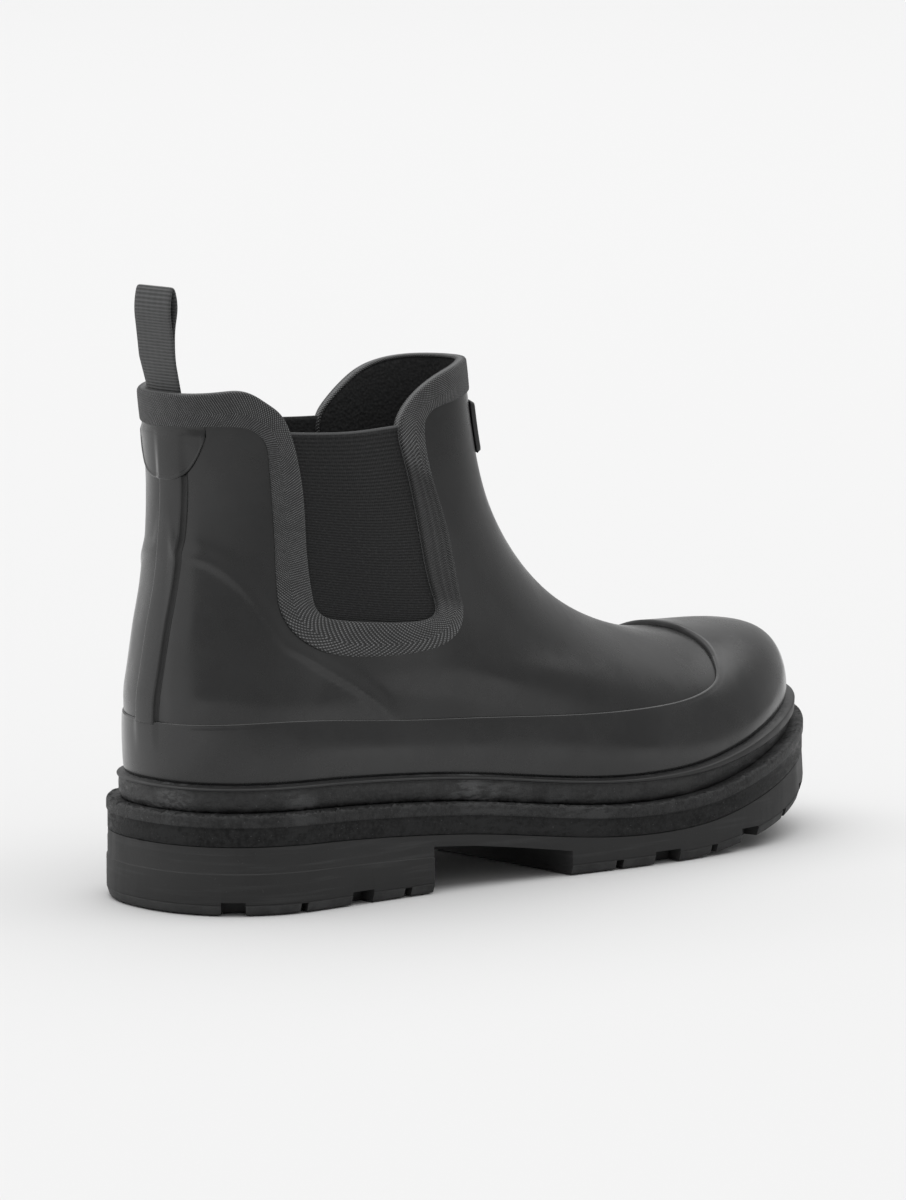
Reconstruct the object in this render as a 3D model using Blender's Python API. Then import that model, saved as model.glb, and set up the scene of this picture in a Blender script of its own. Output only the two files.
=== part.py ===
"""Right ankle-high rain boot with elastic sides, as separate pieces.

Frame: +Y points to the toe, +X to the wearer's right (the outer side), +Z up, floor at z = 0.
The tables are in millimetres, with y counted from the back of the sole, and are scaled and
centred when a mesh is made.

The upper is one wall function, wall(u, t, offset):
  u runs once round the boot, 0 at the back of the heel, 0.5 at the toe, outer side first,
  t runs from 0 at the sole to 1 above the collar,
  offset is measured along the outward normal, so overlays and inner faces share one form.
"""

import bmesh
import bpy
import numpy as np

for item in list(bpy.data.objects):
    bpy.data.objects.remove(item, do_unlink=True)

MM = 0.001
GAP = 0.3
WALL = 2.4
AROUND = 60

# Plan of the sole: ends, half widths at the stations, and length of the rounded ends.
SOLE = dict(y_back=0, y_front=289, heel=42.5, waist=43.5, ball=52.5, toe=49, r_back=42, r_front=64)
STATIONS = (0.0, 0.16, 0.42, 0.68, 0.88, 1.0)
BACK_SHARE = 0.99
FRONT_SHARE = 0.86
END_POWER = 2.2

# Curved foot axis: y, x.
AXIS = np.array([(-40, 0), (0, 0), (60, 0.6), (120, 2.4), (195, 0.8), (250, -1.8), (289, -4.4), (330, -7)])

# Height of the midsole's top along the foot: y, z.
SOLE_TOP = np.array(
    [
        (-20, 32.6),
        (10, 32.5),
        (40, 32.2),
        (80, 30.2),
        (110, 27.6),
        (140, 23.8),
        (170, 21.0),
        (190, 20.9),
        (210, 22.6),
        (230, 27.0),
        (255, 33.6),
        (289, 40.5),
        (310, 43.5),
    ]
)
SPRING_START = 195
SPRING_POWER = 1.6
TOE_SPRING = 19.5
STRIP = 4.1
STRIP_CHAMFER = 0.7
BAND_BOTTOM = 10.2
BAND_DEPTH = 0.4
TREAD_CHAMFER = 0.9
TREAD_EDGE = 2.8
INSOLE_THICK = 3.2
INSOLE_CLEAR = 0.6

# Arch under the waist: y, z of its ceiling, from the heel breast to the forefoot.
ARCH = ((89, 15.3), (106, 13.8), (125, 11.2), (146, 8.0))

# Lug notches in the sole edge: y, width, height, reach inwards.
NOTCHES = (
    (12.5, 8, 4.2, 6.5),
    (34.3, 2.6, 3, 4.5),
    (58.7, 9, 4.2, 6.5),
    (78, 3, 3, 4.5),
    (165.5, 3, 3, 4.5),
    (186, 11, 4.2, 6.5),
    (207.6, 3, 3, 4.5),
    (225.7, 9, 4.2, 6.5),
    (247.6, 3, 3, 4.5),
    (266, 8, 4.2, 6.5),
)

# Channels that part the edge lugs from the middle lugs, as loops like the sole's plan.
CHANNELS = {
    "forefoot_channel": dict(
        y_back=162, y_front=268, heel=32, waist=34, ball=32, toe=26, r_back=26, r_front=50
    ),
    "heel_channel": dict(y_back=18, y_front=74, heel=24, waist=25, ball=25, toe=24, r_back=24, r_front=14),
}
CHANNEL_WIDTH = 4.5
CHANNEL_DEEP = 4
CHANNEL_STEPS = 36

# Cross grooves between the middle lugs: y, half length.
GROOVES = ((45, 20.5), (186, 27), (207, 28), (228, 26))
GROOVE_WIDTH = 4.8
GROOVE_DEEP = 3.6

# How far the sole's cutters reach beyond it.
BEYOND = 8
BOX_FACES = ((0, 1, 2, 3), (4, 5, 6, 7), (0, 1, 5, 4), (1, 2, 6, 5), (2, 3, 7, 6), (3, 0, 4, 7))

# Wall of the upper, one row a level. y_back and y_front are the ends of the loop, share is how
# much of the sole's curve it follows, h are heights added at back, middle and front, then come
# half widths at the stations and the length of the rounded ends.
# t, y_back, y_front, share, h_back, h_mid, h_front, heel, waist, ball, toe, r_back, r_front
LEVELS = np.array(
    [
        (0.00, 8.0, 279.5, 1.0, 0.3, 0.3, 0.3, 33.5, 34.5, 43.5, 40.5, 34, 58),
        (0.08, 6.6, 281.0, 1.0, 12, 12, 12, 34.8, 35.5, 45.0, 42.0, 36, 60),
        (0.18, 5.2, 277.0, 1.0, 25, 25, 25, 35.2, 35.5, 44.0, 39.5, 37, 62),
        (0.28, 4.8, 264.0, 0.8, 42, 40, 40, 34.8, 35.0, 41.0, 34.0, 38, 64),
        (0.38, 5.6, 238.0, 0.5, 60, 56, 55.5, 34.0, 34.8, 36.5, 29.0, 39, 62),
        (0.48, 7.6, 205.5, 0.2, 84, 72, 70, 33.0, 34.5, 32.5, 26.5, 40, 52),
        (0.58, 9.8, 177.0, 0.0, 103, 90, 86, 32.0, 34.5, 30.0, 24.5, 41, 43),
        (0.72, 11.4, 150.5, 0.0, 124, 114, 112, 30.5, 33.0, 27.0, 22.5, 42, 35),
        (0.86, 10.4, 138.5, 0.0, 146, 140, 140, 29.5, 30.5, 22.0, 21.0, 43, 31),
        (1.00, 7.2, 133.0, 0.0, 176, 176, 177, 29.0, 29.0, 19.2, 20.0, 44, 29),
    ]
)

# Edge tape from the back of the collar, round the side notch, to the front of the collar.
# u, t at the free edge, then u, t at the tape's other edge.
TAPE = np.array(
    [
        (0.000, 0.960, 0.000, 0.911),
        (0.030, 0.960, 0.029, 0.912),
        (0.093, 0.965, 0.089, 0.917),
        (0.123, 0.965, 0.114, 0.917),
        (0.132, 0.960, 0.1205, 0.915),
        (0.140, 0.953, 0.126, 0.911),
        (0.154, 0.938, 0.134, 0.900),
        (0.162, 0.915, 0.137, 0.885),
        (0.1665, 0.880, 0.137, 0.865),
        (0.168, 0.833, 0.136, 0.830),
        (0.161, 0.708, 0.131, 0.710),
        (0.157, 0.610, 0.125, 0.610),
        (0.158, 0.585, 0.125, 0.560),
        (0.163, 0.570, 0.131, 0.515),
        (0.178, 0.565, 0.149, 0.470),
        (0.207, 0.568, 0.190, 0.460),
        (0.238, 0.575, 0.240, 0.505),
        (0.254, 0.585, 0.268, 0.552),
        (0.263, 0.602, 0.284, 0.590),
        (0.269, 0.635, 0.293, 0.620),
        (0.286, 0.740, 0.318, 0.730),
        (0.298, 0.878, 0.326, 0.860),
        (0.2975, 0.900, 0.327, 0.889),
        (0.301, 0.916, 0.3295, 0.908),
        (0.309, 0.930, 0.334, 0.919),
        (0.321, 0.944, 0.3425, 0.927),
        (0.335, 0.956, 0.353, 0.931),
        (0.352, 0.966, 0.366, 0.9335),
        (0.373, 0.973, 0.383, 0.936),
        (0.402, 0.978, 0.408, 0.939),
        (0.450, 0.980, 0.450, 0.941),
        (0.500, 0.980, 0.500, 0.942),
    ]
)
TAPE_STATIONS = 50
TAPE_INNER = 0.6
TAPE_OUTER = 1.7

# Millimetres a unit of u and of t at the collar, for spacing the tape's stations.
U_LENGTH = 250
T_LENGTH = 170

# Elastic panel: height of its upper edge, room round it, and the offsets of its two faces.
GORE_TOP = 152.6
GORE_ROOM = 0.35
GORE_FACE = -0.5
GORE_BACK = -1.8
GORE_U = (0.13, 0.33)
GORE_T = (0.52, 0.95)

# Upper edge of the rand, which climbs over the toe as a cap: u, t.
RAND_TOP = np.array(
    [
        (-0.04, 0.210),
        (0.00, 0.208),
        (0.04, 0.210),
        (0.11, 0.217),
        (0.195, 0.200),
        (0.253, 0.223),
        (0.30, 0.236),
        (0.343, 0.234),
        (0.36, 0.246),
        (0.375, 0.277),
        (0.39, 0.306),
        (0.42, 0.352),
        (0.44, 0.373),
        (0.46, 0.386),
        (0.48, 0.394),
        (0.50, 0.396),
        (0.52, 0.394),
    ]
)
RAND_BOTTOM = 0.0668
RAND_INNER = 0.7
RAND_OUTER = 2.2
RAND_ROWS = 8

# Section of the foxing strip: t, offset.
FOXING = ((0, 0.3), (0, 4.2), (0.0512, 4.2), (0.064, 3.4), (0.064, 0.3))

# Half-round patch at the back of the collar: half width, t of its lowest point and of its top,
# how far the sides rise above the lowest point, and how square its corners are.
PATCH_HALF = 15.6
PATCH_LOW = 0.82
PATCH_TOP = 0.9065
PATCH_RISE = 0.0756
PATCH_POWER = 3.2
PATCH_THICK = 1.0

# Strip up the back: half width, t and x of its lower and upper end.
STAY_HALF = 4.6
STAY_T = (0.2125, 0.8155)
STAY_X = (-2.1, 3.7)
STAY_THICK = 1.1

# Plain tab on the front: half width, t of its rows, thickness, height above the wall.
TAB_HALF = 12.5
TAB_T = (0.856, 0.879, 0.902, 0.924)
TAB_THICK = 1.3
TAB_LIFT = 0.6

# Middle line of the pull loop's webbing: y, z.
LOOP_PATH = np.array(
    [
        (13.6, 150),
        (11.8, 165),
        (10.2, 176),
        (8.5, 189),
        (8.2, 196),
        (9.5, 200.5),
        (11.0, 196.5),
        (10.9, 189),
        (11.8, 176),
        (13.4, 165),
        (15.2, 150),
    ]
)
LOOP_WIDTH = 18
LOOP_THICK = 1.2
LOOP_SHIFT = -2.0
LOOP_STATIONS = 23

# The loop's legs bend with the back of the collar and flatten towards the top: z, share.
LOOP_BEND = 0.026
LOOP_BEND_Z = (168, 196)
LOOP_BEND_SHARE = (1, 0.15)

# Rows of the upper's wall; the inner face keeps the rows at these places.
RISE = np.concatenate([np.arange(0, 0.46, 0.04), (0.48, 0.53, 0.59, 0.66, 0.74, 0.82, 0.9, 1.0)])
INNER_ROWS = (0, 2, 4, 6, 8, 10, 12, 13, 14, 15, 16, 17, 18, 19)

# Collar cutter: its ends along y, its top and its reach to either side.
COLLAR_BACK = -30
COLLAR_FRONT = 180
COLLAR_TOP = 260
SIDE_REACH = 90
GORE_REACH = (3, 70)


def spline(knots, values, at):
    """Natural cubic spline; values may have several columns; straight beyond the ends."""
    knots = np.asarray(knots, float)
    values = np.asarray(values, float)
    count = len(knots)
    step = np.diff(knots)
    matrix = np.eye(count)
    right = np.zeros_like(values)
    for i in range(1, count - 1):
        matrix[i, i - 1 : i + 2] = step[i - 1], 2 * (step[i - 1] + step[i]), step[i]
        rise = (values[i + 1] - values[i]) / step[i]
        right[i] = 6 * (rise - (values[i] - values[i - 1]) / step[i - 1])
    bend = np.linalg.solve(matrix, right)
    at = np.asarray(at, float)
    k = np.clip(np.searchsorted(knots, at) - 1, 0, count - 2)
    h = step[k]
    p = (knots[k + 1] - at) / h
    q = (at - knots[k]) / h
    if values.ndim > 1:
        p, q, h = p[..., None], q[..., None], h[..., None]
    curve = ((p**3 - p) * bend[k] + (q**3 - q) * bend[k + 1]) * h**2 / 6
    return p * values[k] + q * values[k + 1] + curve


def axis_x(y):
    return spline(AXIS[:, 0], AXIS[:, 1], y)


def sole_top(y):
    return spline(SOLE_TOP[:, 0], SOLE_TOP[:, 1], y)


def sole_bottom(y):
    share = np.maximum((y - SPRING_START) / (SOLE["y_front"] - SPRING_START), 0)
    return TOE_SPRING * share**SPRING_POWER


def plan(phi, y_back, y_front, heel, waist, ball, toe, r_back, r_front):
    """Point of a foot-shaped loop at angle phi, 0 at the back and pi at the front."""
    s = (1 - np.cos(phi)) / 2
    weight = spline(STATIONS, np.eye(6), s)
    columns = (heel * BACK_SHARE, heel, waist, ball, toe, toe * FRONT_SHARE)
    width = sum(weight[..., i] * column for i, column in enumerate(columns))
    length = y_front - y_back
    back = np.clip(s * length / r_back, 0, 1)
    front = np.clip((1 - s) * length / r_front, 0, 1)
    width = width * (1 - (1 - back) ** END_POWER) ** (1 / END_POWER)
    width = width * (1 - (1 - front) ** END_POWER) ** (1 / END_POWER)
    side = np.where(np.sin(phi) >= 0, 1.0, -1.0)
    y = y_back + s * length
    return axis_x(y) + side * width, y, s


def sole_ring(inset, height, count=AROUND):
    """Ring round the sole, inset from its outline, at height(y)."""
    phi = 2 * np.pi * np.arange(count) / count
    size = {key: value - inset for key, value in SOLE.items()}
    size["y_back"] = SOLE["y_back"] + inset
    x, y, s = plan(phi, **size)
    return np.stack([x, y, height(y)], -1)


def wall_point(u, t):
    row = spline(LEVELS[:, 0], LEVELS[:, 1:], t)
    y_back, y_front, share, h_back, h_mid, h_front, *widths = np.moveaxis(row, -1, 0)
    x, y, s = plan(2 * np.pi * u, y_back, y_front, *widths)
    weight = spline((0.0, 0.45, 1.0), np.eye(3), s)
    z = share * sole_top(y) + weight[..., 0] * h_back + weight[..., 1] * h_mid + weight[..., 2] * h_front
    return np.stack([x, y, z], -1)


def wall(u, t, offset):
    u, t = np.broadcast_arrays(np.asarray(u, float), np.asarray(t, float))
    e = 1e-4
    along = wall_point(u + e, t) - wall_point(u - e, t)
    up = wall_point(u, np.minimum(t + e, 1)) - wall_point(u, np.maximum(t - e, 0))
    normal = np.cross(along, up)
    normal /= np.linalg.norm(normal, axis=-1, keepdims=True)
    point = wall_point(u, t) + normal * np.asarray(offset)[..., None]
    point[..., 2] = np.maximum(point[..., 2], sole_top(point[..., 1]) + GAP)
    return point


def u_at_x(x, t, middle=0.0):
    """Position round the boot of the points at x on the back (middle 0) or front (0.5)."""
    trial = np.linspace(-0.12, 0.12, 241)
    across = wall_point(middle + trial, np.full_like(trial, t))[:, 0]
    order = np.argsort(across)
    return middle + np.interp(x, across[order], trial[order])


OUTLINE = sole_ring(0, sole_top)
MIDDLE = np.array(
    [
        (OUTLINE[:, 0].min() + OUTLINE[:, 0].max()) / 2,
        (OUTLINE[:, 1].min() + OUTLINE[:, 1].max()) / 2,
        0,
    ]
)


def material(name, colour, roughness):
    made = bpy.data.materials.new(name)
    made.use_nodes = True
    shader = made.node_tree.nodes["Principled BSDF"]
    shader.inputs["Base Color"].default_value = (*colour, 1)
    shader.inputs["Roughness"].default_value = roughness
    shader.inputs["Metallic"].default_value = 0
    return made


def add(name, points, faces, paint=None):
    mesh = bpy.data.meshes.new(name)
    mesh.from_pydata(((np.asarray(points) - MIDDLE) * MM).tolist(), [], faces)
    work = bmesh.new()
    work.from_mesh(mesh)
    bmesh.ops.recalc_face_normals(work, faces=work.faces)
    work.to_mesh(mesh)
    work.free()
    ob = bpy.data.objects.new(name, mesh)
    bpy.context.scene.collection.objects.link(ob)
    if paint:
        mesh.materials.append(paint)
    return ob


def loop_solid(name, rings, paint=None):
    """Closed tube of sections: rings[section][around], joined last to first both ways."""
    rings = np.asarray(rings)
    sections, around = rings.shape[:2]
    faces = []
    for i in range(sections):
        for j in range(around):
            a, b = i * around + j, i * around + (j + 1) % around
            c, d = ((i + 1) % sections) * around + j, ((i + 1) % sections) * around + (j + 1) % around
            faces.append((a, b, d, c))
    return add(name, rings.reshape(-1, 3), faces, paint)


def stack_solid(name, rings, paint=None):
    """Solid of stacked rings, closed below and above by rungs from side to side."""
    rings = np.asarray(rings)
    levels, around = rings.shape[:2]
    faces = []
    for i in range(levels - 1):
        for j in range(around):
            a, b = i * around + j, i * around + (j + 1) % around
            faces.append((a, b, b + around, a + around))
    for base in (0, (levels - 1) * around):
        half = around // 2
        faces.append((base, base + 1, base + around - 1))
        for j in range(1, half - 1):
            faces.append((base + j, base + j + 1, base + around - j - 1, base + around - j))
        faces.append((base + half - 1, base + half, base + half + 1))
    return add(name, rings.reshape(-1, 3), faces, paint)


def patch_solid(name, outer, inner, paint=None):
    """Thick patch between two grids of points of equal shape."""
    rows, columns = outer.shape[:2]
    points = np.concatenate([outer.reshape(-1, 3), inner.reshape(-1, 3)])
    far = rows * columns
    faces = []
    for i in range(rows - 1):
        for j in range(columns - 1):
            a = i * columns + j
            faces.append((a, a + 1, a + columns + 1, a + columns))
            faces.append((far + a, far + a + columns, far + a + columns + 1, far + a + 1))
    rim = [j for j in range(columns)]
    rim += [i * columns + columns - 1 for i in range(1, rows)]
    rim += [(rows - 1) * columns + j for j in range(columns - 2, -1, -1)]
    rim += [i * columns for i in range(rows - 2, 0, -1)]
    for a, b in zip(rim, rim[1:] + rim[:1]):
        faces.append((a, b, far + b, far + a))
    return add(name, points, faces, paint)


def cutter(ob):
    ob.hide_render = True
    ob.display_type = "WIRE"
    return ob


def prism(name, outline, x_from, x_to):
    """Cutter with a side-view outline (y, z), from x_from to x_to."""
    count = len(outline)
    points = [(x_from, y, z) for y, z in outline] + [(x_to, y, z) for y, z in outline]
    faces = [tuple(range(count)), tuple(range(2 * count - 1, count - 1, -1))]
    for i in range(count):
        j = (i + 1) % count
        faces.append((i, j, count + j, count + i))
    return cutter(add(name, points, faces))


def boxes(name, blocks):
    """Cutter of several boxes, each with four corners (x, y), a lower and an upper height."""
    points = []
    faces = []
    for corners, low, high in blocks:
        start = len(points)
        points += [(x, y, z) for z in (low, high) for x, y in corners]
        faces += [tuple(start + i for i in face) for face in BOX_FACES]
    return cutter(add(name, points, faces))


def cut(ob, tool, operation="DIFFERENCE"):
    step = ob.modifiers.new(tool.name, "BOOLEAN")
    step.operation = operation
    step.solver = "EXACT"
    step.object = tool


RUBBER = (0.036, 0.037, 0.038)
rubber_upper = material("upper_rubber", RUBBER, 0.5)
rubber_rand = material("rand_rubber", RUBBER, 0.48)
rubber_foxing = material("foxing_rubber", (0.024, 0.024, 0.025), 0.62)
rubber_midsole = material("midsole_rubber", (0.02, 0.02, 0.021), 0.7)
rubber_outsole = material("outsole_rubber", (0.03, 0.03, 0.031), 0.55)
rubber_stay = material("backstay_rubber", RUBBER, 0.48)
rubber_patch = material("patch_rubber", RUBBER, 0.48)
tape_cloth = material("tape_cloth", (0.075, 0.075, 0.077), 0.7)
gore_cloth = material("gore_elastic", (0.018, 0.018, 0.019), 0.85)
webbing = material("loop_webbing", (0.09, 0.09, 0.092), 0.8)
tab_plate = material("tab_plate", (0.012, 0.012, 0.012), 0.4)
footbed = material("insole_cloth", (0.014, 0.014, 0.015), 0.9)

# Outsole: heel block, arch and lugged forefoot in one piece.
outsole = stack_solid(
    "outsole",
    [
        sole_ring(TREAD_CHAMFER, sole_bottom),
        sole_ring(0, lambda y: sole_bottom(y) + TREAD_EDGE),
        sole_ring(0, lambda y: sole_top(y) - BAND_BOTTOM - GAP),
    ],
    rubber_outsole,
)
arch = [(ARCH[0][0], -BEYOND), *ARCH, (ARCH[-1][0], -BEYOND)]
cut(outsole, prism("arch_cutter", arch, -SIDE_REACH, SIDE_REACH))


def outline_at(y, side):
    """Sole edge point, tangent and inward normal at y, side +1 outer or -1 inner."""
    length = SOLE["y_front"] - SOLE["y_back"]
    phi = np.arccos(1 - 2 * (y - SOLE["y_back"]) / length)
    phi = np.array([phi - 0.01, phi, phi + 0.01]) * side
    x, y, s = plan(phi, **SOLE)
    tangent = np.array([x[2] - x[0], y[2] - y[0]])
    tangent /= np.linalg.norm(tangent)
    inward = np.array([-tangent[1], tangent[0]]) * side
    return np.array([x[1], y[1]]), tangent, inward


blocks = []
for y, width, height, reach in NOTCHES:
    for side in (1, -1):
        edge, tangent, inward = outline_at(y, side)
        floor = float(sole_bottom(edge[1]))
        half = tangent * width / 2
        outer = edge - inward * BEYOND
        inner = edge + inward * reach
        corners = (outer - half, outer + half, inner + half, inner - half)
        blocks.append((corners, floor - BEYOND, floor + height))
cut(outsole, boxes("notch_cutter", blocks))

phi = 2 * np.pi * np.arange(CHANNEL_STEPS) / CHANNEL_STEPS
channel_profile = (
    (0, -BEYOND),
    (0, CHANNEL_DEEP),
    (CHANNEL_WIDTH, CHANNEL_DEEP),
    (CHANNEL_WIDTH, -BEYOND),
)
for name, size in CHANNELS.items():
    sections = []
    for inset, above in channel_profile:
        small = {key: value - inset for key, value in size.items()}
        small["y_back"] = size["y_back"] + inset
        x, y, s = plan(phi, **small)
        sections.append(np.stack([x, y, sole_bottom(y) + above], -1))
    cut(outsole, cutter(loop_solid(name, sections)))

blocks = []
for y, half in GROOVES:
    floor = float(sole_bottom(y))
    middle = float(axis_x(y))
    back, front = y - GROOVE_WIDTH / 2, y + GROOVE_WIDTH / 2
    left, right = middle - half, middle + half
    corners = ((left, back), (right, back), (right, front), (left, front))
    blocks.append((corners, floor - BEYOND, floor + GROOVE_DEEP))
cut(outsole, boxes("groove_cutter", blocks))

# Midsole: full-width strip on top, slightly recessed band below it.
stack_solid(
    "midsole",
    [
        sole_ring(BAND_DEPTH, lambda y: sole_top(y) - BAND_BOTTOM),
        sole_ring(BAND_DEPTH, lambda y: sole_top(y) - STRIP),
        sole_ring(0, lambda y: sole_top(y) - STRIP),
        sole_ring(0, lambda y: sole_top(y) - STRIP_CHAMFER),
        sole_ring(STRIP_CHAMFER, sole_top),
    ],
    rubber_midsole,
)

# Insole: loose plate on the midsole, clear of the upper's wall.
u = np.arange(AROUND) / AROUND
inner_foot = dict(zip(("y_back", "y_front"), LEVELS[0, 1:3]))
inner_foot.update(zip(("heel", "waist", "ball", "toe", "r_back", "r_front"), LEVELS[0, 7:]))
shrink = WALL + INSOLE_CLEAR
plate = {key: value - shrink for key, value in inner_foot.items()}
plate["y_back"] = inner_foot["y_back"] + shrink
x, y, s = plan(2 * np.pi * u, **plate)
heights = (GAP, GAP + INSOLE_THICK)
stack_solid("insole", [np.stack([x, y, sole_top(y) + height], -1) for height in heights], footbed)

# Upper: hollow shell, open below and above, then cut along the collar and the side notches.
outside = [wall(u, t, np.zeros(AROUND)) for t in RISE]
inside = [wall(u, t, np.full(AROUND, -WALL)) for t in RISE[list(INNER_ROWS)][::-1]]
upper = loop_solid("upper", outside + inside, rubber_upper)

steps = np.hypot(np.diff(TAPE[:, 0]) * U_LENGTH, np.diff(TAPE[:, 1]) * T_LENGTH)
knots = np.concatenate([[0], np.cumsum(steps)])
tape = spline(knots, TAPE, np.linspace(0, knots[-1], TAPE_STATIONS))
edge = wall_point(tape[:, 0], tape[:, 1])[:, 1:]
collar = [
    (COLLAR_BACK, edge[0, 1]),
    *map(tuple, edge[1:-1]),
    (COLLAR_FRONT, edge[-1, 1]),
    (COLLAR_FRONT, COLLAR_TOP),
    (COLLAR_BACK, COLLAR_TOP),
]
cut(upper, prism("collar_cutter", collar, -SIDE_REACH, SIDE_REACH))

# Elastic panels in the notches, in the middle of the wall.
notch = edge[edge[:, 1] < GORE_TOP]
run = np.gradient(notch, axis=0)
run /= np.linalg.norm(run, axis=1, keepdims=True)
panel = notch + np.stack([-run[:, 1], run[:, 0]], -1) * GORE_ROOM
u_panel, t_panel = np.meshgrid(np.linspace(*GORE_U, 9), np.linspace(*GORE_T, 6))
near, far = GORE_REACH
panels = (("gore_lateral", u_panel, near, far), ("gore_medial", 1 - u_panel, -far, -near))
for name, u_side, x_from, x_to in panels:
    face = wall(u_side, t_panel, np.full(u_panel.shape, GORE_FACE))
    back = wall(u_side, t_panel, np.full(u_panel.shape, GORE_BACK))
    gore = patch_solid(name, face, back, gore_cloth)
    cut(gore, prism(name + "_cutter", [tuple(p) for p in panel], x_from, x_to), "INTERSECT")

# Edge tape: one closed band over the wall, round the collar and both notches.
mirrored = tape * (-1, 1, -1, 1) + (1, 0, 1, 0)
both = np.concatenate([tape, mirrored[-2:0:-1]])
tape_profile = (
    (0, TAPE_INNER),
    (0, TAPE_OUTER),
    (0.5, TAPE_OUTER),
    (1, TAPE_OUTER),
    (1, TAPE_INNER),
    (0.5, TAPE_INNER),
)
sections = []
for across, offset in tape_profile:
    u_tape = both[:, 0] + (both[:, 2] - both[:, 0]) * across
    t_tape = both[:, 1] + (both[:, 3] - both[:, 1]) * across
    sections.append(wall(u_tape, t_tape, np.full(len(both), offset)))
loop_solid("binding", sections, tape_cloth)

# Foxing strip at the foot of the upper.
loop_solid("foxing", [wall(u, t, np.full(AROUND, offset)) for t, offset in FOXING], rubber_foxing)

# Rand, rising into the toe cap.
top = spline(RAND_TOP[:, 0], RAND_TOP[:, 1], np.minimum(u, 1 - u))
shares = np.linspace(0, 1, RAND_ROWS)
sections = []
for offset, order in ((RAND_OUTER, shares), (RAND_INNER, shares[::-1])):
    for share in order:
        sections.append(wall(u, RAND_BOTTOM + (top - RAND_BOTTOM) * share, np.full(AROUND, offset)))
loop_solid("rand", sections, rubber_rand)


def back_patch(name, rows, thick, paint, middle=0.0, lift=GAP):
    """Strip on the back or front of the wall; rows hold t and an array of x across."""
    outer = []
    inner = []
    for t, across in rows:
        t_row = np.broadcast_to(t, across.shape)
        u_row = np.array([u_at_x(x, t_one, middle) for x, t_one in zip(across, t_row)])
        outer.append(wall(u_row, t_row, np.full(across.shape, lift + thick)))
        inner.append(wall(u_row, t_row, np.full(across.shape, lift)))
    return patch_solid(name, np.array(outer), np.array(inner), paint)


# Half-round patch under the collar and the strip below it.
across = np.linspace(-PATCH_HALF, PATCH_HALF, 11)
low = PATCH_LOW + PATCH_RISE * (np.abs(across) / PATCH_HALF) ** PATCH_POWER
patch_rows = [(low + (PATCH_TOP - low) * share, across) for share in np.linspace(0, 1, 4)]
back_patch("loop_patch", patch_rows, PATCH_THICK, rubber_patch)
strip = np.linspace(-STAY_HALF, STAY_HALF, 5)
stay_rows = [(t, strip + np.interp(t, STAY_T, STAY_X)) for t in np.linspace(*STAY_T, 12)]
back_patch("backstay", stay_rows, STAY_THICK, rubber_stay)

# Plain tab on the front of the shaft.
front = np.linspace(-TAB_HALF, TAB_HALF, 9)
back_patch("front_tab", [(t, front) for t in TAB_T], TAB_THICK, tab_plate, 0.5, TAB_LIFT)

# Pull loop of webbing, both legs inside the collar.
along = np.concatenate([[0], np.cumsum(np.hypot(*np.diff(LOOP_PATH, axis=0).T))])
line = spline(along, LOOP_PATH, np.linspace(0, along[-1], LOOP_STATIONS))
run = np.gradient(line, axis=0)
run /= np.linalg.norm(run, axis=1, keepdims=True)
aside = np.stack([-run[:, 1], run[:, 0]], -1) * LOOP_THICK / 2
bend = LOOP_BEND * np.interp(line[:, 1], LOOP_BEND_Z, LOOP_BEND_SHARE)
columns = np.linspace(-LOOP_WIDTH / 2, LOOP_WIDTH / 2, 3) + LOOP_SHIFT
grids = []
for face in (line + aside, line - aside):
    rows = []
    for x in columns:
        rows.append(np.column_stack([np.full(LOOP_STATIONS, x), face[:, 0] + bend * x**2, face[:, 1]]))
    grids.append(np.array(rows))
patch_solid("pull_loop", grids[0], grids[1], webbing)
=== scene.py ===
"""Right ankle-high rain boot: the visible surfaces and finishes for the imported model.

Tables are in millimetres, with y counted from the back of the sole, as in the part's source.
wall(u, t, offset) is the boot's one form: u runs round the boot from the back of the heel over
the outer side to the toe (0.5) and back, t from the sole (0) to above the collar (1).
"""

import math

import bmesh
import bpy
import numpy as np
from mathutils import Matrix, Vector


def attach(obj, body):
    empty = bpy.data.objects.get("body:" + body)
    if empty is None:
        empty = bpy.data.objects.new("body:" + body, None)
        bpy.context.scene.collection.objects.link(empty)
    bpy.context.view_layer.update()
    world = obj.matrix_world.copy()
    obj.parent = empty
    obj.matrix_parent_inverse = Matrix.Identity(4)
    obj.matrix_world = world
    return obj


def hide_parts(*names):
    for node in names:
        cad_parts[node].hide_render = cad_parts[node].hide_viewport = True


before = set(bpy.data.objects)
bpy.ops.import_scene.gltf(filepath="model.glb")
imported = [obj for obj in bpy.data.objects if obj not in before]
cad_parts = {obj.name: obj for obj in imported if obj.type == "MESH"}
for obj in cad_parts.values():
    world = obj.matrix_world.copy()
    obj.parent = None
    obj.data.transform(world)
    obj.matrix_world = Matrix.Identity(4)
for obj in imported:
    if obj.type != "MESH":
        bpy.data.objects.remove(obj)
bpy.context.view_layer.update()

MM = 0.001
WALL = 2.4
# Distance within which the ends of a sheet are joined, in metres.
SEAM = 2e-6


def table(*rows):
    """Rows of numbers as an array."""
    return np.array(rows, float)


# Plan of the sole: its ends, half widths and the lengths of its rounded ends.
SOLE = dict(y_back=0, y_front=289, heel=42.5, waist=43.5, ball=52.5, toe=49, r_back=42, r_front=64)
# Where along a plan its widths hold, shares of the width at its two ends, and how square the ends are.
STATIONS = (0.0, 0.16, 0.42, 0.68, 0.88, 1.0)
BACK_SHARE = 0.99
FRONT_SHARE = 0.86
END_POWER = 2.2
# Foot axis: y, x.
AXIS = table(
    (-40, 0),
    (0, 0),
    (60, 0.6),
    (120, 2.4),
    (195, 0.8),
    (250, -1.8),
    (289, -4.4),
    (330, -7),
)
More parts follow.
